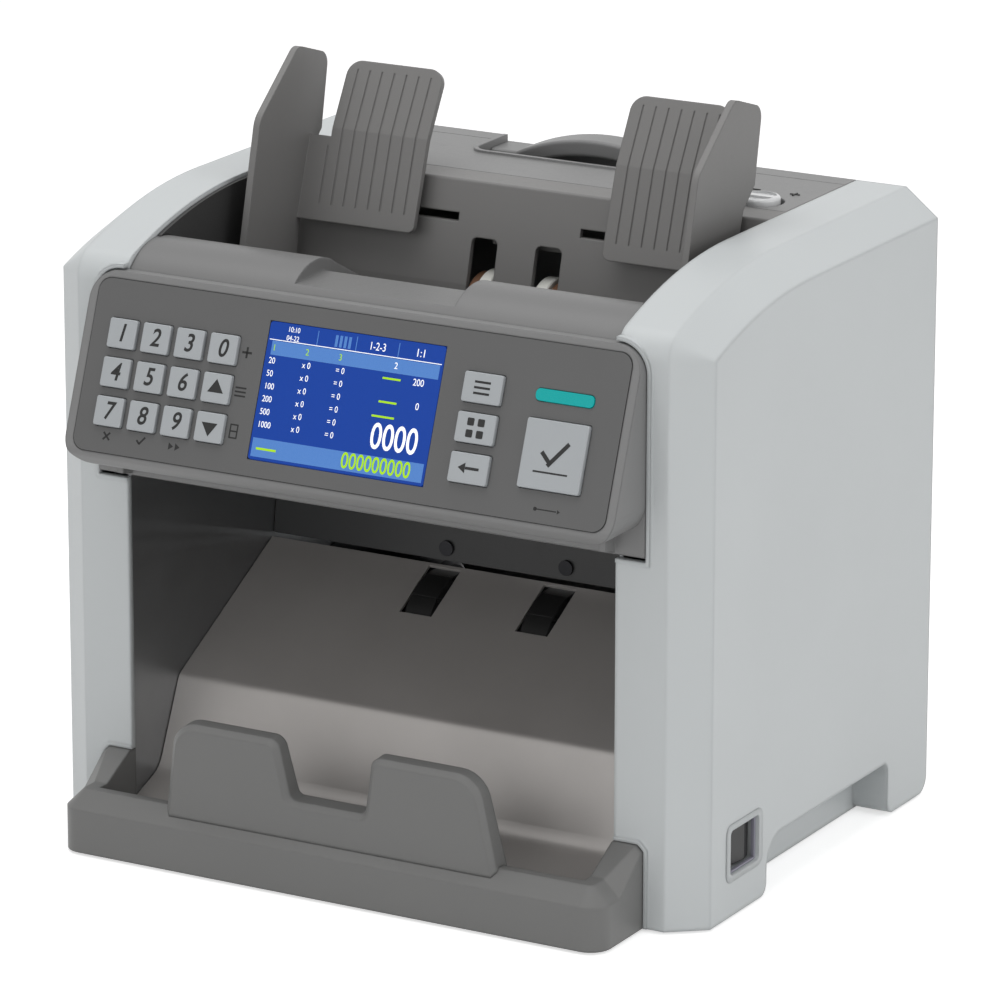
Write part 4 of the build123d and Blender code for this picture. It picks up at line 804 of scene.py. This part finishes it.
# %% Socket of the power switch
SWITCH_X, SWITCH_Y, SWITCH_Z = 145.6, FRONT + 39.3, 27.3
STRIP_DEPTH = 1.6
socket_strips = (
    ("front", -11.35, 0.0, 1.1, 18.4),
    ("rear", 11.35, 0.0, 1.1, 18.4),
    ("foot", 0.0, -8.75, 21.4, 0.9),
    ("head", 0.0, 8.75, 21.4, 0.9),
)
for edge_name, along, up, length, height in socket_strips:
    place = (SWITCH_X, SWITCH_Y + along, SWITCH_Z + up)
    size = (STRIP_DEPTH, length, height)
    raised_bar(place, size, "housing", socket_lilac, f"socket_{edge_name}")
print("socket strips:", len(socket_strips))

# %% [markdown]
# Fine ribs cross the slope behind the front roll, so that the lowest note doesn't cling. One rib is
# modelled, as a cube drawn out along the slope and bevelled, and then copied across on both sides
# of the finger scoop. Each copy has its own mesh, and all are joined at the end.

# %% Ribs behind the roll
RIB_PITCH, FIRST_RIB, RIBS_A_SIDE = 7.3, 42.0, 9
RIB_WIDTH, RIB_HEIGHT, RIB_EDGE, RIB_LIFT = 1.2, 1.3, 0.35, 0.12
ramp_start = Vector((0, FRONT + 39.0, 239.1)) * MM
ramp_end = Vector((0, FRONT + 98.0, 208.7)) * MM
ramp = ramp_end - ramp_start
bpy.ops.object.select_all(action="DESELECT")
bpy.ops.mesh.primitive_cube_add(
    size=1,
    location=(ramp_start + ramp_end) / 2 + Vector((0, 0, RIB_LIFT * MM)),
    rotation=ramp.to_track_quat("Y", "Z").to_euler(),
)
first_rib = bpy.context.object
first_rib.scale = (RIB_WIDTH * MM, ramp.length, RIB_HEIGHT * MM)
bpy.ops.object.transform_apply(location=False, rotation=False, scale=True)
bpy.ops.object.mode_set(mode="EDIT")
bpy.ops.mesh.select_all(action="SELECT")
bpy.ops.mesh.bevel(offset=RIB_EDGE * MM, segments=2, affect="EDGES")
bpy.ops.object.mode_set(mode="OBJECT")
ribs = []
for side in (-1, 1):
    for step in range(RIBS_A_SIDE):
        rib = first_rib.copy()
        rib.data = first_rib.data.copy()
        rib.location.x = side * (FIRST_RIB + step * RIB_PITCH) * MM
        bpy.context.collection.objects.link(rib)
        ribs.append(rib)
bpy.data.objects.remove(first_rib)
gather(ribs, "ramp_ribs", "housing", roll_plastic)
print("ribs:", len(ribs))

# %% [markdown]
# A pale sheet of card under the machine catches its soft shadow. The card is lifted to white for
# the camera and for reflections, and sheds no more light on the machine than plain card would.

# %% Floor
bpy.ops.object.select_all(action="DESELECT")
bpy.ops.mesh.primitive_plane_add(size=24.0, location=(0, 0, -0.0002))
floor = bpy.context.object
floor.name = "floor"
card = Finish("floor_card")
card_tone = card.noise(card.coordinates(), 3.0)
matt = card.node(
    "ShaderNodeBsdfDiffuse",
    {},
    {"Color": card.blend(card_tone, (0.78, 0.78, 0.78, 1.0), (0.8, 0.8, 0.8, 1.0))},
)
white_seen = (
    card.node("ShaderNodeLightPath", out="Is Camera Ray")
    + card.node("ShaderNodeLightPath", out="Is Glossy Ray")
    + card.node("ShaderNodeLightPath", out="Is Transmission Ray")
)
glow = card.node(
    "ShaderNodeEmission", {}, {"Color": (1, 1, 1, 1), "Strength": white_seen * 0.6}
)
both = card.node("ShaderNodeAddShader", {}, {0: matt, 1: glow})
card.tree.links.new(both.socket, card.out.inputs["Surface"])
floor.data.materials.append(card.material)
print("floor laid")
